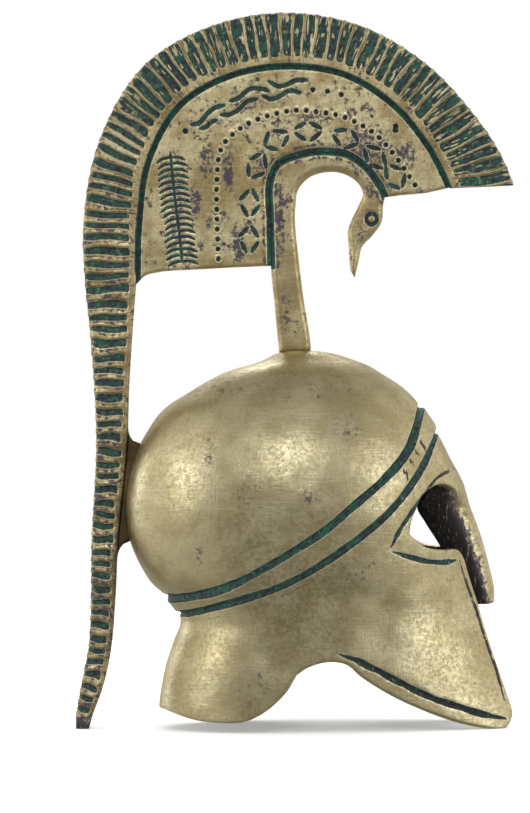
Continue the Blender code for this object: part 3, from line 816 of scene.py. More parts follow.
black_from = np.interp(bar_points[:, 2] / BOWL_HEIGHT, *zip(*BLACK_FROM))
bar_soot = 0.26 * ease((bar_share - 0.04) / 0.08) + 0.74 * ease((bar_share - black_from) / 0.44)
nasal = make_piece("nasal", bar_points, bar_faces, np.zeros(len(bar_points)), bar_soot)

# %% [markdown]
# ## The plume
# The plume stands for horsehair: a curved bar whose two faces carry about ninety flutes, cut by
# hand across its width, each with a round end at the plain inner rim. Between them are thin
# ridges that wear bright. On the tail each flute is cut steeper above than below.

# %% Flutes along the plume
PLUME = [
    # reach, level, width, angle
    (-1.222, -0.040, 0.17, 166),
    (-1.188, 0.025, 0.29, 166),
    (-1.123, 0.107, 0.40, 168),
    (-1.073, 0.208, 0.42, 173),
    (-1.045, 0.347, 0.45, 177),
    (-1.027, 0.492, 0.49, 177),
    (-1.000, 0.619, 0.52, 177),
    (-0.970, 0.745, 0.57, 178),
    (-0.955, 0.909, 0.645, 180),
    (-0.932, 1.067, 0.79, 181),
    (-0.908, 1.222, 0.95, 181),
    (-0.899, 1.362, 1.00, 177),
    (-0.836, 1.567, 0.965, 153),
    (-0.648, 1.732, 0.97, 131),
    (-0.356, 1.817, 0.965, 111),
    (-0.040, 1.8435, 0.968, 91),
    (0.235, 1.818, 0.93, 71),
    (0.460, 1.725, 0.95, 51),
    (0.615, 1.601, 1.02, 30),
    (0.676, 1.525, 1.12, 14),
    (0.708, 1.477, 1.17, 2),
]
PITCHES = [
    # level or share of the way up and over, pitch of the flutes
    (0.00, 5.2 * MM),
    (0.22, 5.2 * MM),
    (0.30, 5.7 * MM),
    (0.44, 5.6 * MM),
    (0.50, 4.9 * MM),
    (1.00, 4.9 * MM),
]
PLUME_HALF = 4.6 * MM
FLUTE_DEPTH = 1.3 * MM
COLUMNS_A_FLUTE = 14


def side_places(table, behind, before):
    """Side view points of table rows that start with reach and level."""
    table = np.array(table)
    return np.stack([reach(table[:, 0], behind, before), level(table[:, 1])], -1)


plume_rest = np.array(PLUME)[:, 2:] * (PLUME_WIDTH, math.radians(1))
plume_table = smooth(np.hstack([side_places(PLUME, TAIL_SET, CREST_FRONT), plume_rest]), 24)
plume_inner, plume_width = plume_table[:, :2], plume_table[:, 2]
plume_way = np.stack([np.cos(plume_table[:, 3]), np.sin(plume_table[:, 3])], -1)
plume_length = along(plume_inner + plume_way * plume_width[:, None] / 2)
pitch_at = np.interp(plume_length / plume_length[-1], *zip(*PITCHES))
plume_phase = np.concatenate(
    [[0], np.cumsum(np.diff(plume_length) / ((pitch_at[1:] + pitch_at[:-1]) / 2))]
)
flute_count = int(plume_phase[-1])
phase = np.linspace(0, plume_phase[-1], flute_count * COLUMNS_A_FLUTE)
where = np.interp(phase, plume_phase, plume_length)
inner_x, inner_z, way_x, way_z, wide = (
    np.interp(where, plume_length, values)[:, None]
    for values in (*plume_inner.T, *plume_way.T, plume_width)
)
print("plume has", flute_count, "flutes over", round(plume_length[-1] / MM), "mm")

# %% Build the plume
RIM_STEPS = np.array([0, 0.3, 0.6, 0.9, 1.3, 1.7, 2.1, 2.5, 2.9, 3.4, 4.0]) * MM
INNER_ROUND, OUTER_ROUND = 1.0 * MM, 2.4 * MM
SLIM_WIDTH = 12 * MM        # under this width the plume's plain rim gets narrower with it
where, phase = where[:, None], phase[:, None]
slim = np.minimum(wide / SLIM_WIDTH, 1)
across = RIM_STEPS * slim
across = np.hstack([across, across[:, -1:] + (wide - across[:, -1:]) * np.linspace(0, 1, 16)[1:]])
rng = np.random.default_rng(11)
place = across / wide
over = where / plume_length[-1]
# Each flute leans and bends a little, and at the front tip their outer ends sweep back.
lean = 0.5 * np.sin(2.3 * phase) + 0.3 * np.sin(0.9 * phase + 1)
bent = phase + 0.10 * np.sin(1.7 * phase) + 0.22 * lean * (place - 0.5)
bent = bent + 0.06 * np.sin(7 * place + 1.3 * phase) + 0.30 * ease((over - 0.9) / 0.1) * place**2
part = bent - np.floor(bent)
number = np.clip(np.floor(bent).astype(int), 0, flute_count + 1)
depth_of = (0.75 + 0.4 * rng.random(flute_count + 2))[number]
start_of = (rng.random(flute_count + 2) * 0.9 * MM)[number]
stepped = 1 - ease((over - 0.52) / 0.14)
trough = 1 - np.abs(2 * np.clip(part / 0.88, 0, 1) - 1) ** 3.5
step_cut = ease(part / 0.70) * (1 - ease((part - 0.80) / 0.14))
shape = trough + (step_cut - trough) * stepped
rim_here = np.interp(over, (0, 0.40, 0.50, 1), (1.4 * MM, 1.6 * MM, 2.7 * MM, 2.7 * MM)) * slim
pitch_here = np.interp(where, plume_length, pitch_at)
round_end = 0.5 * pitch_here * (1 - np.sqrt(np.maximum(1 - (2 * part - 1) ** 2, 0)))
open_in = ease((across - rim_here - slim * start_of - 0.6 * slim * round_end) / (0.8 * MM))
open_out = 1 - 0.5 * ease((across - wide + 1.8 * MM) / (1.8 * MM))
tip_fade = ease((where - 9 * MM) / (5 * MM))
sink = FLUTE_DEPTH * depth_of * shape * open_in * open_out * tip_fade
half = PLUME_HALF - round_off(across, INNER_ROUND) - round_off(wide - across, OUTER_ROUND) - sink
half = np.maximum(half, 0.6 * MM)
notched = across - 0.25 * MM * shape * tip_fade * place**6
right = np.stack([inner_x + way_x * notched, -half, inner_z + way_z * notched], -1)
plume_rings = np.concatenate([right, (right * MIRROR)[:, ::-1]], axis=1)
plume_rings[..., 2] = np.maximum(plume_rings[..., 2], 0)
# Verdigris fills the flutes. On the tail it lies in their deep upper halves only.
upper = ease((part - 0.28) / 0.18) * (1 - ease((part - 0.84) / 0.08))
whole = ease((part - 0.03) / 0.10) * (1 - ease((part - 0.78) / 0.12))
worn_end = 0.45 * ease((across - wide + 3.5 * MM) / (3 * MM))
fill_in = open_in * tip_fade
green = np.maximum((whole + (upper - whole) * stepped) - worn_end, 0) * fill_in
seam = ease((0.95 * MM - across) / (0.4 * MM)) * ease((over - 0.43) / 0.02)
lower = ease(part / 0.12) * (1 - ease((part - 0.45) / 0.2))
dusk = (0.40 * lower * stepped + 0.30 * whole * (1 - stepped)) * fill_in
# Hairlines that run along the flutes: random values at nine knots across, blended with those
# of the neighbouring rows.
knot = np.floor(place * 7.99).astype(int)
shift = place * 7.99 - knot


def hairline(values):
    """Values at the knots, carried straight from knot to knot and softened along the plume."""
    line = np.take_along_axis(values, knot, 1) * (1 - shift)
    line = line + np.take_along_axis(values, knot + 1, 1) * shift
    return 0.6 * line + 0.2 * np.roll(line, 1, axis=0) + 0.2 * np.roll(line, -1, axis=0)


rub, stain = map(hairline, rng.random((2, len(phase), 9)))
green = green * (1 - (0.9 - 0.75 * stepped) * ease((rub - 0.60) / 0.14))
dusk = np.maximum(dusk, 0.55 * ease((stain - 0.57) / 0.14))
dusk = np.maximum(dusk, 0.38 * ease((0.44 - over) / 0.2) + 0.45 * ease((0.03 - over) / 0.02))
plume_recess, plume_soot = (
    np.concatenate([value, value[:, ::-1]], axis=1).reshape(-1)
    for value in (np.maximum(green, seam), dusk)
)
ring_size = plume_rings.shape[1]
plume_points = plume_rings.reshape(-1, 3)
plume_faces = grid_faces(len(plume_rings), ring_size, True)
plume_faces += end_faces(len(plume_points), ring_size)
plume = make_piece("fluted_plume", plume_points, plume_faces, plume_recess, plume_soot)

# %% [markdown]
# ## The engraved panel
# The plate under the arch is covered with common Greek ornament, punched and engraved: waves, a
# row of dots that follows the arch, lozenges, and a fern. Each mark is a short line in the side
# view, and the metal sinks by its distance from that line.

# %% Outlines shared by the panel and the neck
NECK_OUTER = [
    # reach, level
    (-0.62, 0.975), (-0.69, 1.030), (-0.84, 1.150), (-0.95, 1.236), (-0.98, 1.386),
    (-0.97, 1.500), (-0.62, 1.552), (-0.12, 1.570), (0.24, 1.587), (0.41, 1.587), (0.57, 1.580),
    (0.68, 1.565), (0.79, 1.541), (0.89, 1.508), (0.97, 1.472), (1.00, 1.452),
]
NECK_INNER = [
    # reach, level, corner
    (0.18, 0.975, 1), (0.175, 1.020, 0), (0.098, 1.164, 0), (0.049, 1.283, 0),
    (0.018, 1.386, 0), (0.026, 1.430, 0), (0.055, 1.475, 0), (0.185, 1.513, 0),
    (0.405, 1.528, 0), (0.570, 1.520, 0), (0.708, 1.494, 0), (0.762, 1.464, 0),
    (0.705, 1.423, 0), (0.628, 1.380, 0), (0.594, 1.352, 0), (0.604, 1.296, 0),
    (0.622, 1.236, 0), (0.662, 1.214, 1), (0.705, 1.260, 0), (0.747, 1.305, 0),
    (0.855, 1.337, 0), (0.956, 1.375, 0), (0.979, 1.428, 0),
]
PANEL_CORNER = 3            # row of NECK_OUTER where the panel's lower edge meets the neck
PANEL_REAR_EDGE = [(-0.175, 1.251), (-0.54, 1.243), (-0.83, 1.231), (-0.866, 1.223)]
PANEL_TOE = 1.192           # level where the panel's rear corner runs out on the plume
PANEL_FRONT_EDGE = [(0.483, 1.457), (0.60, 1.463)]
SEAM = 0.3 * MM             # gap between neighbouring castings
PANEL_HALF, PANEL_RIM = 3.7 * MM, 0.9 * MM
NECK_HALF, NECK_RIM = 4.5 * MM, 2.6 * MM
WEB_HALF, WEB_RIM = 2.6 * MM, 0.6 * MM
PLATE_SPACING = 0.5 * MM


def side_curve(table, behind, before, steps):
    """Side view curve through rows of reach and level, with an optional corner mark."""
    marks = [row[2] for row in table] if len(table[0]) == 3 else None
    return smooth(side_places(table, behind, before), steps, marks)


def even_ring(parts, spacing):
    """Closed outline of parts end to end, anticlockwise, with its points at an even spacing."""
    return anticlockwise(even(closed(np.vstack(parts)), spacing)[:-1])


HIDDEN_EDGE = 0.7 * MM      # how far the panel runs on under the arch and under the neck
on_arch = slice(int(np.argmax(plume_inner[:, 1] > level(PANEL_TOE))), -1)
arch_line = (plume_inner - plume_way * SEAM)[on_arch]
under_arch = arch_line + plume_way[on_arch] * HIDDEN_EDGE
neck_back = side_curve(NECK_OUTER[PANEL_CORNER:], NECK_BACK, HOOK_REACH, 10)
neck_line = neck_back + left_of(neck_back) * SEAM
under_neck = neck_line - left_of(neck_back) * HIDDEN_EDGE
panel_front = side_curve(PANEL_FRONT_EDGE, TAIL_SET, CREST_FRONT, 2)
panel_rear = side_curve(PANEL_REAR_EDGE, TAIL_SET, CREST_FRONT, 4)
panel_outline = even_ring(
    [under_arch, panel_front[::-1], under_neck[1:][::-1], panel_rear], PLATE_SPACING
)

# %% Ornament of the panel
DOT_ROW = [(-31.6, 197.1), (-32.1, 214.0), (-32.1, 228.7), (-29.7, 244.2), (-21.6, 252.1),
           (-10.3, 257.1), (3.0, 259.4), (7.4, 259.0), (21.4, 256.4), (35.1, 248.7), (45.4, 236.4),
           (51.3, 227.5)]
DOT_PITCH = 4.15
LONE_DOTS = [(8.7, 267.9), (14.8, 267.2), (20.6, 265.8)]
NICKS = [(-45.1, 251.0), (43.3, 250.7), (43.4, 252.2)]
FERN = [(-51.6, 242.3), (-50.8, 234.7), (-50.1, 226.3), (-48.9, 215.8), (-47.7, 205.3),
        (-47.0, 196.0)]
LEAF_PITCH = 2.65
WAVES = [
    # x, z of the points that each wave runs through
    [(-42.6, 253.7), (-39.5, 254.3), (-35.7, 258.3), (-32.5, 260.8), (-28.7, 261.7)],
    [(-38.8, 252.0), (-36.3, 252.7), (-34.4, 254.6), (-32.0, 255.5)],
    [(-26.1, 263.6), (-22.8, 264.6), (-17.6, 268.6), (-12.8, 268.5), (-9.9, 267.7)],
    [(-30.0, 257.7), (-26.1, 258.0), (-22.3, 260.2), (-19.2, 263.2), (-14.7, 264.4)],
    [(-9.7, 271.6), (-5.9, 269.6), (-2.1, 270.3), (1.3, 271.9), (6.2, 272.1)],
    [(-12.2, 265.6), (-9.0, 264.2), (-5.2, 265.4), (-1.2, 267.6), (3.3, 266.9)],
]
LOZENGES = [
    # middle x, middle z, lean in degrees
    (-18.6, 205.2, 0),
    (-18.2, 220.6, 0),
    (-15.1, 236.1, -28),
    (-7.0, 247.0, -62),
    (6.5, 250.6, -90),
    (22.4, 247.5, -112),
    (34.6, 239.4, -138),
    (42.9, 231.0, -150),
]
LOZENGE_LONG, LOZENGE_WIDE = 6.5, 4.6


def lozenge(x, z, lean):
    """Four strokes round a middle point, end to end as a lozenge that leans over."""
    angle = math.radians(lean)
    long_way = np.array([-math.sin(angle), math.cos(angle)]) * LOZENGE_LONG
    wide_way = np.array([math.cos(angle), math.sin(angle)]) * LOZENGE_WIDE
    corners = [long_way, wide_way, -long_way, -wide_way]
    strokes = []
    for first, second in zip(corners, corners[1:] + corners[:1]):
        middle = (first + second) / 2
        half = (second - first) * rng.uniform(0.27, 0.34)
        turn = rng.uniform(-0.18, 0.18)
        cos, sin = math.cos(turn), math.sin(turn)
        half = half @ np.array([[cos, sin], [-sin, cos]])
        strokes.append(np.array([middle - half, middle + half]) + (x, z))
    return strokes


def fern_leaves():
    """Pairs of leaves that leave the stem square to it, arch up and droop at their tips."""
    stem = even(smooth(FERN, 6), LEAF_PITCH)
    way = np.gradient(stem, axis=0)
    way = way / np.linalg.norm(way, axis=1, keepdims=True)
    share = np.linspace(0, 1, 7)[:, None]
    leaves = []
    for foot, down in zip(stem[1:], way[1:]):
        for side in (-1, 1):
            out = np.array([-down[1], down[0]]) * side * rng.uniform(5.6, 6.6)
            leaves.append(foot + out * share + down * (2.6 * share**2 - 1.5 * share) * 1.3)
    return leaves


dots = even(smooth(DOT_ROW, 8), DOT_PITCH)
strokes = [
    # line in mm, half width, depth
    *[(line, 1.00, 0.70) for row in LOZENGES for line in lozenge(*row)],
    *[(smooth(row, 4), 1.02, 0.65) for row in WAVES],
    *[(line, 0.66, 0.50) for line in fern_leaves()],
    (smooth(FERN, 4), 0.62, 0.55),
]
print("panel has", len(strokes), "strokes and", len(dots) + len(LONE_DOTS), "dots")


PANEL_STAINS = [
    # x, z, width, tallness in mm, soot
    (-27.2, 236.0, 2.6, 12.0, 0.61),
    (-36.2, 238.0, 3.4, 9.0, 0.55),
    (-19.1, 261.7, 8.0, 3.5, 0.50),
    (-23.5, 203.0, 4.0, 10.0, 0.53),
    (-30.5, 214.0, 5.0, 5.0, 0.48),
    (31.3, 244.6, 13.0, 9.0, 0.55),
    (9.1, 256.0, 9.0, 4.0, 0.53),
    (-13.0, 237.0, 4.5, 7.0, 0.52),
    (-41.8, 221.5, 3.6, 8.0, 0.54),
    (-50.0, 218.0, 5.5, 24.0, 0.46),
    (47.0, 240.0, 6.0, 8.0, 0.52),
]


def panel_relief(points):
    """Depth, recess and soot of every mark, of the two seams that edge the panel, and of a painted
    shade beside the neck's seam.
    """
    place = points / MM
    depth, mark, black = np.zeros((3, len(place)))
    for line, half_width, deep in strokes:
        low, high = line.min(axis=0) - 2, line.max(axis=0) + 2
        near = np.all((place > low) & (place < high), axis=1)
        slimmer = 0.5 + 0.5 * ease(end_distance(place[near], line) / 1.8)
        far = line_distance(place[near], line) / slimmer
        depth[near] = np.maximum(depth[near], deep * cut(far, half_width * 1.3))
        mark[near] = np.maximum(mark[near], ease((half_width + 0.2 - far) / 0.4))
        black[near] = np.maximum(black[near], 0.45 * ease((half_width * 1.6 - far) / 0.5))
    for group, radius, rim in ((dots, 1.0, 0.22), (LONE_DOTS, 1.1, 0.08), (NICKS, 1.3, 0.0)):
        for dot in group:
            far = np.linalg.norm(place - dot, axis=1)
            near = far < 3
            far = far[near]
            burr = rim * np.exp(-(((far - 1.5) / 0.3) ** 2))
            depth[near] += 0.85 * cut(far, radius * 1.2) - burr
            halo = 0.7 * rim * ease((1.8 - far) / 0.25)
            green = ease((radius + 0.15 - far) / 0.25)
            mark[near] = np.maximum(mark[near], np.maximum(halo, green))
            black[near] = np.maximum(black[near], ease((radius - 0.1 - far) / 0.3))
    arch_far = line_distance(points, arch_line) / MM
    neck_far = line_distance(points, neck_line[:-1]) / MM
    depth = depth + 1.2 * cut(arch_far, 2.2) + 1.3 * cut(neck_far, 2.0)
    mark = np.maximum(mark, np.maximum(ease((2.0 - arch_far) / 0.6), ease((1.5 - neck_far) / 0.6)))
    # Painted shade: a dark band on the panel 2.4 mm off the neck's seam, where the neck stands proud of
    # it.
    painted_seam_shade = 0.55 * np.exp(-(((neck_far - 2.4) / 0.9) ** 2))
    return depth * MM, mark, np.maximum(np.maximum(painted_seam_shade, black), stains(place, PANEL_STAINS))


panel = make_plate(
    "engraved_panel", panel_outline, PANEL_HALF, PANEL_RIM, PLATE_SPACING, panel_relief
)

# %% [markdown]
# ## The swan neck
# The neck rises from the crown, bends over and ends in a bird's head with its beak down. Its faces
# are softly crowned, so the rim law has a large radius. The eye is a ring cut round a boss.

# %% Neck and head
EYE = (32.9, 213.4)
NECK_STAINS = [
    # x, z, width, tallness in mm, soot
    (-5.2, 214.0, 2.0, 18.0, 0.56),
    (4.0, 242.0, 14.0, 2.0, 0.42),
    (-4.0, 175.0, 3.0, 12.0, 0.38),
    (33.0, 226.0, 4.0, 5.0, 0.44),
    (34.0, 200.0, 3.0, 8.0, 0.46),
    (28.0, 205.0, 2.0, 6.0, 0.44),
]


def neck_relief(points):
    """The eye's ring, the seam where the panel meets the neck, and a painted shade beside that seam."""
    place = points / MM
    far = np.linalg.norm((place - EYE) * (1.0, 0.92), axis=1)
    ring = ease((far - 0.9) / 0.7) * (1 - ease((far - 2.6) / 0.8))
    seam_far = line_distance(points, neck_back) / MM
    above = ease((points[:, 1] - neck_back[0, 1]) / (1.2 * MM))
    depth = (0.6 * ring + 0.9 * cut(seam_far, 2.3) * above) * MM
    # Painted shade: a dark band on the neck's rounded rim, 2.8 mm in from its seam with the panel.
    painted_seam_shade = 0.5 * np.exp(-(((seam_far - 2.8) / 1.2) ** 2)) * above
    black = np.maximum(np.maximum(painted_seam_shade, 0.6 * ring), stains(place, NECK_STAINS))
    return depth, np.maximum(ring, above * ease((2.1 - seam_far) / 0.5)), black


neck_sides = [side_curve(table, NECK_BACK, HOOK_REACH, 10) for table in (NECK_OUTER, NECK_INNER)]
neck_outline = even_ring([neck_sides[0], neck_sides[1][::-1]], 0.45 * MM)
neck_outline[:, 1] = np.maximum(neck_outline[:, 1], BOWL_HEIGHT - 1.0 * MM)
neck = make_plate(
    "swan_neck", neck_outline, NECK_HALF, NECK_RIM, PLATE_SPACING, neck_relief,
    layers=(0.08, 0.2, 0.36, 0.56, 0.8),
)

# %% [markdown]
# ## The bridge
# A small dark web carries the tail on the back of the bowl.

# %% Bridge
bridge_low, bridge_high = level((0.498, 0.755))
FLARE = 7.0 * MM            # height over which the web spreads along the tail at each end
web_heights = np.linspace(bridge_low - FLARE, bridge_high + FLARE, 40)
web_edge = plume_inner - plume_way * 0.1 * MM
rising = slice(0, int(np.argmax(web_edge[:, 1] > BOWL_HEIGHT)))
tail_x = np.interp(web_heights, web_edge[rising, 1], web_edge[rising, 0])
beyond = np.maximum(bridge_low - web_heights, web_heights - bridge_high)
swell = np.clip(beyond / FLARE, 0, 1)
bowl_x = -np.interp(web_heights, skin_height, skin_table[:, 1] * BOWL_REAR) + 0.4 * MM
web_x = np.where(swell > 0, tail_x + FLARE * 0.8 * (1 - np.sqrt(1 - (1 - swell) ** 2)), bowl_x)
tail_side, bowl_side = (
    np.stack([x, web_heights], -1) for x in (tail_x, np.minimum(web_x, bowl_x))
)
bridge = make_plate(
    "tail_web", anticlockwise(np.vstack([tail_side, bowl_side[::-1][1:-1]])),
    WEB_HALF, WEB_RIM, 0.6 * MM, lambda points: np.tile([[0.0], [0.0], [0.2]], len(points)),
)

# %% [markdown]
# ## Bronze and its patina
# The real surface is cast bronze. It was coloured dark with a chemical patina and a green one,
# then rubbed back, so the high metal is bright and satin and every low place stays dark or green.
# The material mixes those by the point values and by noise of real sizes.


# %% Node helpers
def linear(colour):
    """Turn an sRGB hex colour into linear numbers."""
    shares = [int(colour[i:i + 2], 16) / 255 for i in (1, 3, 5)]
    return tuple(
        s / 12.92 if s <= 0.04045 else ((s + 0.055) / 1.055) ** 2.4 for s in shares
    ) + (1.0,)


def add(tree, kind, settings, inputs):
    """Add a node, set its properties, and fill its inputs with constants or links."""
    node = tree.nodes.new(kind)
    for key, value in settings.items():
        setattr(node, key, value)
    for key, value in inputs.items():
        if isinstance(value, bpy.types.NodeSocket):
            tree.links.new(value, node.inputs[key])
        else:
            node.inputs[key].default_value = value
    return node


def node_maths(tree):
    """Shorthands for the maths nodes of a tree. They take and give outputs or numbers."""
    def ramp(value, low, high, bottom=0.0, top=1.0):
        """Smooth step from bottom, where the value is low, to top, where it is high."""
        return add(
            tree, "ShaderNodeMapRange", {"interpolation_type": "SMOOTHSTEP"},
            {"Value": value, 1: low, 2: high, 3: bottom, 4: top},
        ).outputs[0]

    def blend(share, first, second):
        """The first colour, turned into the second by the share."""
        return add(
            tree, "ShaderNodeMix", {"data_type": "RGBA"}, {0: share, 6: first, 7: second}
        ).outputs[2]

    def maths(operation):
        """Function that adds one maths node with two inputs."""
        def node(first, second):
            pair = {0: first, 1: second}
            return add(tree, "ShaderNodeMath", {"operation": operation}, pair).outputs[0]
        return node

    return ramp, blend, maths("MULTIPLY"), maths("ADD"), maths("SUBTRACT"), maths("MAXIMUM")


# The patina: a brown film on the open metal, soot from thin to thick, and verdigris from green
# to the black of the deepest marks, with a pale bloom. The soot colours also paint the shade
# beside the seam of the panel and the neck.
BROWN_FILM = linear("#3F373B")
THIN_SOOT_AND_SHADE, MID_SOOT_AND_SHADE, THICK_SOOT_AND_SHADE = map(linear, ("#5A5242", "#453D47", "#1F1B1B"))
GREEN, DARK_GREEN, NEAR_BLACK, BLACK, BLOOM = map(
    linear, ("#1C5644", "#233A3C", "#232029", "#17151A", "#5A7F72")
)


def patina_bronze(name, metal, shade, worn, grime, flakes, rough, grain):
    """Rubbed cast bronze. Metal and shade are the polished colours, worn the bright high places,
    grime how much dark patina is left on the open metal, flakes how much of the verdigris in the
    grooves is rubbed through, and grain the depth of the brushing."""
    material = bpy.data.materials.new(name)
    material.use_nodes = True
    tree = material.node_tree
    shader = tree.nodes["Principled BSDF"]
    ramp, blend, times, plus, minus, most = node_maths(tree)
    place = add(tree, "ShaderNodeTexCoord", {}, {}).outputs["Object"]
    recess, soot_and_shade = (
        add(tree, "ShaderNodeAttribute", {"attribute_name": attribute}, {}).outputs["Fac"]
        for attribute in ("recess", "soot_and_shade")
    )

    def noise(size, detail, roughness=0.55, stretch=(1, 1, 1)):
        """Noise whose grains have this size. A stretch under 1 draws them out along that axis."""
        spot = add(tree, "ShaderNodeMapping", {}, {"Vector": place, "Scale": stretch})
        return add(
            tree, "ShaderNodeTexNoise", {},
            {"Vector": spot.outputs[0], "Scale": 1 / size, "Detail": detail, "Roughness": roughness},
        ).outputs["Fac"]

    def spread(value, gain):
        """The value's distance from its middle of 0.5, times the gain."""
        return times(minus(value, 0.5), gain)

    # Clouds of 14 mm, patches of 4.2 mm, mottle of 1.9 mm, specks of 0.85 mm, and brushing 0.9 mm
    # wide: streaks lie level and are 7 mm long, uprights stand and are 8 mm long.
    clouds = noise(14 * MM, 3)
    patches = noise(4.2 * MM, 7, 0.72)
    mottle = noise(1.9 * MM, 5, 0.65)
    streaks = noise(0.9 * MM, 3, 0.6, (0.13, 0.13, 1.1))
    uprights = noise(0.9 * MM, 3, 0.6, (1.1, 1.1, 0.11))
    specks = noise(0.85 * MM, 3, 0.65)
    # Bare metal, brighter along the streaks.
    colour = blend(ramp(clouds, 0.38, 0.62), linear(shade), linear(metal))
    colour = blend(ramp(streaks, 0.50, 0.75, 0.0, 0.3), colour, linear(worn))
    # The brown film: patches, stipple and scratches where hands don't reach, and a thin tarnish over
    # the soot and the painted shade.
    field = plus(patches, spread(clouds, 0.4))
    film = times(ramp(field, 0.72 - 0.16 * grime, 0.79 - 0.16 * grime), min(grime, 1.0))
    film = times(film, ramp(mottle, 0.35, 0.55, 0.5, 1.0))
    stipple = times(ramp(specks, 0.49, 0.64), ramp(patches, 0.40, 0.60, 0.35, 1.0))
    scratch = times(ramp(uprights, 0.55, 0.68), ramp(mottle, 0.44, 0.60, 0.2, 0.8))
    handled = most(ramp(field, 0.42, 0.64, 0.38, 0.85), ramp(soot_and_shade, 0.08, 0.30))
    handled = times(handled, min(0.3 + 0.6 * grime, 1.0))
    film = most(film, times(most(stipple, scratch), handled))
    film = most(film, times(ramp(mottle, 0.42, 0.62), ramp(soot_and_shade, 0.05, 0.32, 0.26, 0.60)))
    colour = blend(film, colour, BROWN_FILM)
    # Soot and painted shade, with an edge broken by the mottle and the patches.
    soot_and_shade_cover = plus(plus(soot_and_shade, spread(mottle, 1.3)), spread(patches, 1.5))
    soot_and_shade_cover = times(ramp(soot_and_shade_cover, 0.36, 0.58), ramp(soot_and_shade, 0.05, 0.20))
    soot_and_shade_cover = times(soot_and_shade_cover, ramp(uprights, 0.56, 0.72, 1.0, 0.45))
    black = blend(ramp(soot_and_shade, 0.28, 0.40), THIN_SOOT_AND_SHADE, MID_SOOT_AND_SHADE)
    black = blend(ramp(soot_and_shade, 0.5, 0.9), black, THICK_SOOT_AND_SHADE)
    colour = blend(soot_and_shade_cover, colour, black)
    # The lips of the marks are rubbed bright, and verdigris with chips in it fills the marks.
    uneven = plus(spread(specks, 0.4), spread(mottle, 0.8))
    edge = times(ramp(recess, 0.01, 0.12), ramp(recess, 0.20, 0.45, 1.0, 0.0))
    colour = blend(times(edge, 0.45), colour, linear(worn))
    deep = blend(ramp(patches, 0.42, 0.56), GREEN, DARK_GREEN)
    deep = blend(ramp(mottle, 0.50, 0.62), deep, NEAR_BLACK)
    deep = blend(ramp(soot_and_shade, 0.3, 0.8), deep, BLACK)
    deep = blend(ramp(noise(1.6 * MM, 4), 0.61, 0.72), deep, BLOOM)
    hollow = ramp(plus(recess, times(uneven, 0.6)), 0.35, 0.60)
    chips = ramp(noise(1.3 * MM, 5, 0.7), 0.62 - 0.14 * flakes, 0.68 - 0.14 * flakes)
    hollow = times(hollow, minus(1.0, times(chips, flakes)))
    colour = blend(hollow, colour, deep)
    # Patina is duller and rougher than the metal, and the brushing and mottle are felt as relief.
    cover = most(hollow, most(soot_and_shade_cover, times(film, 0.8)))
    metallic = minus(1.0, times(cover, 0.9))
    roughness = plus(times(cover, 0.22), ramp(mottle, 0.3, 0.7, rough - 0.03, rough + 0.05))
    height = plus(plus(times(streaks, 0.6), times(uprights, 0.5)), times(mottle, 0.55))
    bump = add(tree, "ShaderNodeBump", {}, {"Strength": grain, "Distance": 0.15 * MM, "Height": height})
    for key, value in (
        ("Base Color", colour), ("Metallic", metallic), ("Roughness", roughness),
        ("Normal", bump.outputs[0]),
    ):
        tree.links.new(value, shader.inputs[key])
    return material


# %% Finishes
# All five are cast bronze rubbed to a satin over dark patina, with verdigris in the marks. The
# pattern's scale is that of the noise above, 0.85 mm to 14 mm.
FINISHES = (
    # name, metal, shade, worn, grime, flakes, rough, grain
    ("satin_bowl_bronze", "#D8CCA2", "#C4B68A", "#EEE4C6", 0.6, 0.2, 0.37, 0.9),
    ("mottled_panel_bronze", "#E8DAAA", "#B8A470", "#F2E6C0", 1.05, 0.2, 0.42, 0.7),
    ("worn_plume_bronze", "#D8C694", "#9C8858", "#F2E6C2", 0.9, 0.35, 0.42, 0.8),
    ("swan_neck_bronze", "#DACA9A", "#B4A274", "#EADDB6", 0.95, 0.1, 0.42, 0.6),
    ("dark_web_bronze", "#7F6A42", "#5F4F30", "#9A865A", 0.8, 0.0, 0.45, 0.6),
)
bowl_finish, panel_finish, plume_finish, neck_finish, web_finish = (
    patina_bronze(*row) for row in FINISHES
)
for piece, node, slot, finish in (
    (shell, "helmet_shell", "bowl_bronze", bowl_finish),
    (nasal, "helmet_shell", "bowl_bronze", bowl_finish),
    (plume, "crest_plume", "plume_bronze", plume_finish),
    (panel, "crest_panel", "panel_bronze", panel_finish),
    (neck, "crest_holder", "swan_bronze", neck_finish),
    (bridge, "tail_bridge", "dark_bronze", web_finish),
):
    piece.data.materials.append(finish)
    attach(piece, "root")
    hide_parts(node)

# %% [markdown]
# ## Floor and light
# The photo has a white ground and a soft light tent. A large window above the camera, one to the
# left and one to the right give the bowl its soft highlights, and two behind it give the bright
# edges. The darker room behind the camera gives the dark between them. The paper shows in no
# reflection, so it doesn't fill the dark undersides.

# %% Floor
PAPER_RADIUS = 1.1
PAPER_SIDES = 96
floor_data = bpy.data.meshes.new("floor")
rim_angles = np.linspace(0, 2 * math.pi, PAPER_SIDES, endpoint=False)
rim_points = np.stack([np.cos(rim_angles), np.sin(rim_angles), 0 * rim_angles], -1) * PAPER_RADIUS
floor_data.from_pydata(rim_points.tolist(), [], [list(range(PAPER_SIDES))])
floor = bpy.data.objects.new("floor", floor_data)
bpy.context.collection.objects.link(floor)
floor.visible_glossy = False
floor_material = bpy.data.materials.new("matt_paper")
floor_material.use_nodes = True
paper = floor_material.node_tree.nodes["Principled BSDF"]
paper.inputs["Base Color"].default_value = linear("#F6F6F4")
paper.inputs["Roughness"].default_value = 0.8
paper.inputs["Emission Color"].default_value = (1, 1, 1, 1)
paper.inputs["Emission Strength"].default_value = 0.30
floor_data.materials.append(floor_material)


# %% Lights
LIT_MIDDLE = Vector((0, 0, 0.13))


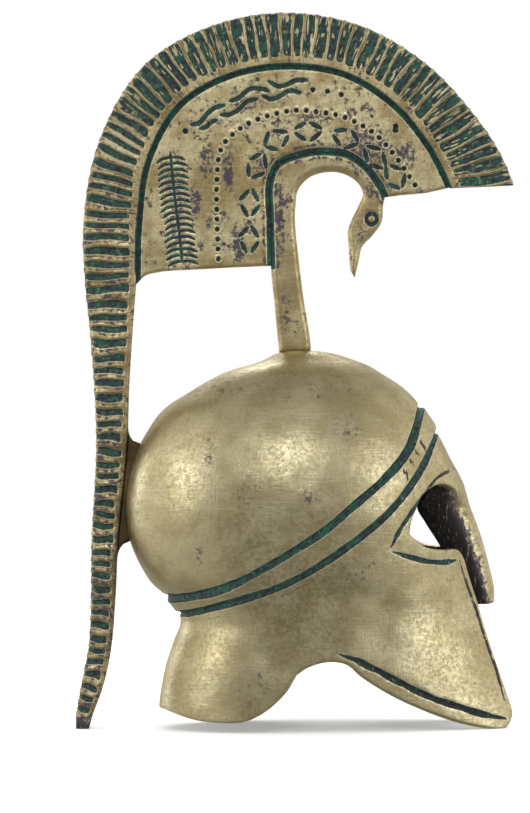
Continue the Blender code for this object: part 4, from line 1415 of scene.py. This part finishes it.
def window(name, way, far, size, power, seen=True):
    """A soft rectangular light that faces the middle of the helmet from a direction."""
    data = bpy.data.lights.new(name, "AREA")
    data.shape = "RECTANGLE"
    data.size, data.size_y = size
    data.energy = power
    data.color = (0.90, 0.93, 1.0) if seen else (1, 1, 1)
    lamp = bpy.data.objects.new(name, data)
    lamp.location = LIT_MIDDLE + Vector(way).normalized() * far
    lamp.rotation_euler = (LIT_MIDDLE - lamp.location).to_track_quat("-Z", "Y").to_euler()
    lamp.visible_glossy = seen
    bpy.context.collection.objects.link(lamp)


window("front_window", (-0.06, -0.89, 0.46), 2.2, (0.85, 0.6), 8.6)
window("left_window", (-0.88, -0.42, 0.26), 1.9, (0.5, 0.75), 5.0)
window("right_window", (0.75, -0.62, 0.20), 1.9, (0.5, 0.8), 5.0)
window("left_back_window", (-0.80, 0.55, 0.12), 1.9, (0.5, 0.8), 4.0)
window("back_window", (-0.05, 0.80, 0.60), 2.2, (0.8, 0.6), 6.0)
window("paper_light", (0.0, 0.0, 1.0), 1.9, (2.6, 2.6), 30, seen=False)

world = bpy.data.worlds.new("tent")
bpy.context.scene.world = world
world.use_nodes = True
tree = world.node_tree
background = tree.nodes["Background"]
way = add(tree, "ShaderNodeTexCoord", {}, {}).outputs["Generated"]
aside, ahead, up = add(tree, "ShaderNodeSeparateXYZ", {}, {"Vector": way}).outputs
aside = add(tree, "ShaderNodeMath", {"operation": "ABSOLUTE"}, {0: aside}).outputs[0]
ramp, blend, times, *_, most = node_maths(tree)
walls = ramp(aside, 0.45, 1.0, 0.26, 0.80)
roof = ramp(up, -0.4, 1.0, 0.75, 1.35)
backdrop = ramp(ahead, 0.25, 0.9, 1.0, 2.2)
ray = add(tree, "ShaderNodeLightPath", {}, {}).outputs["Is Camera Ray"]
shown = most(times(times(walls, roof), backdrop), ray)
tint = blend(ray, (1.0, 0.96, 0.87, 1), (1, 1, 1, 1))
tree.links.new(shown, background.inputs["Strength"])
tree.links.new(tint, background.inputs["Color"])
bpy.context.scene.view_settings.view_transform = "Standard"
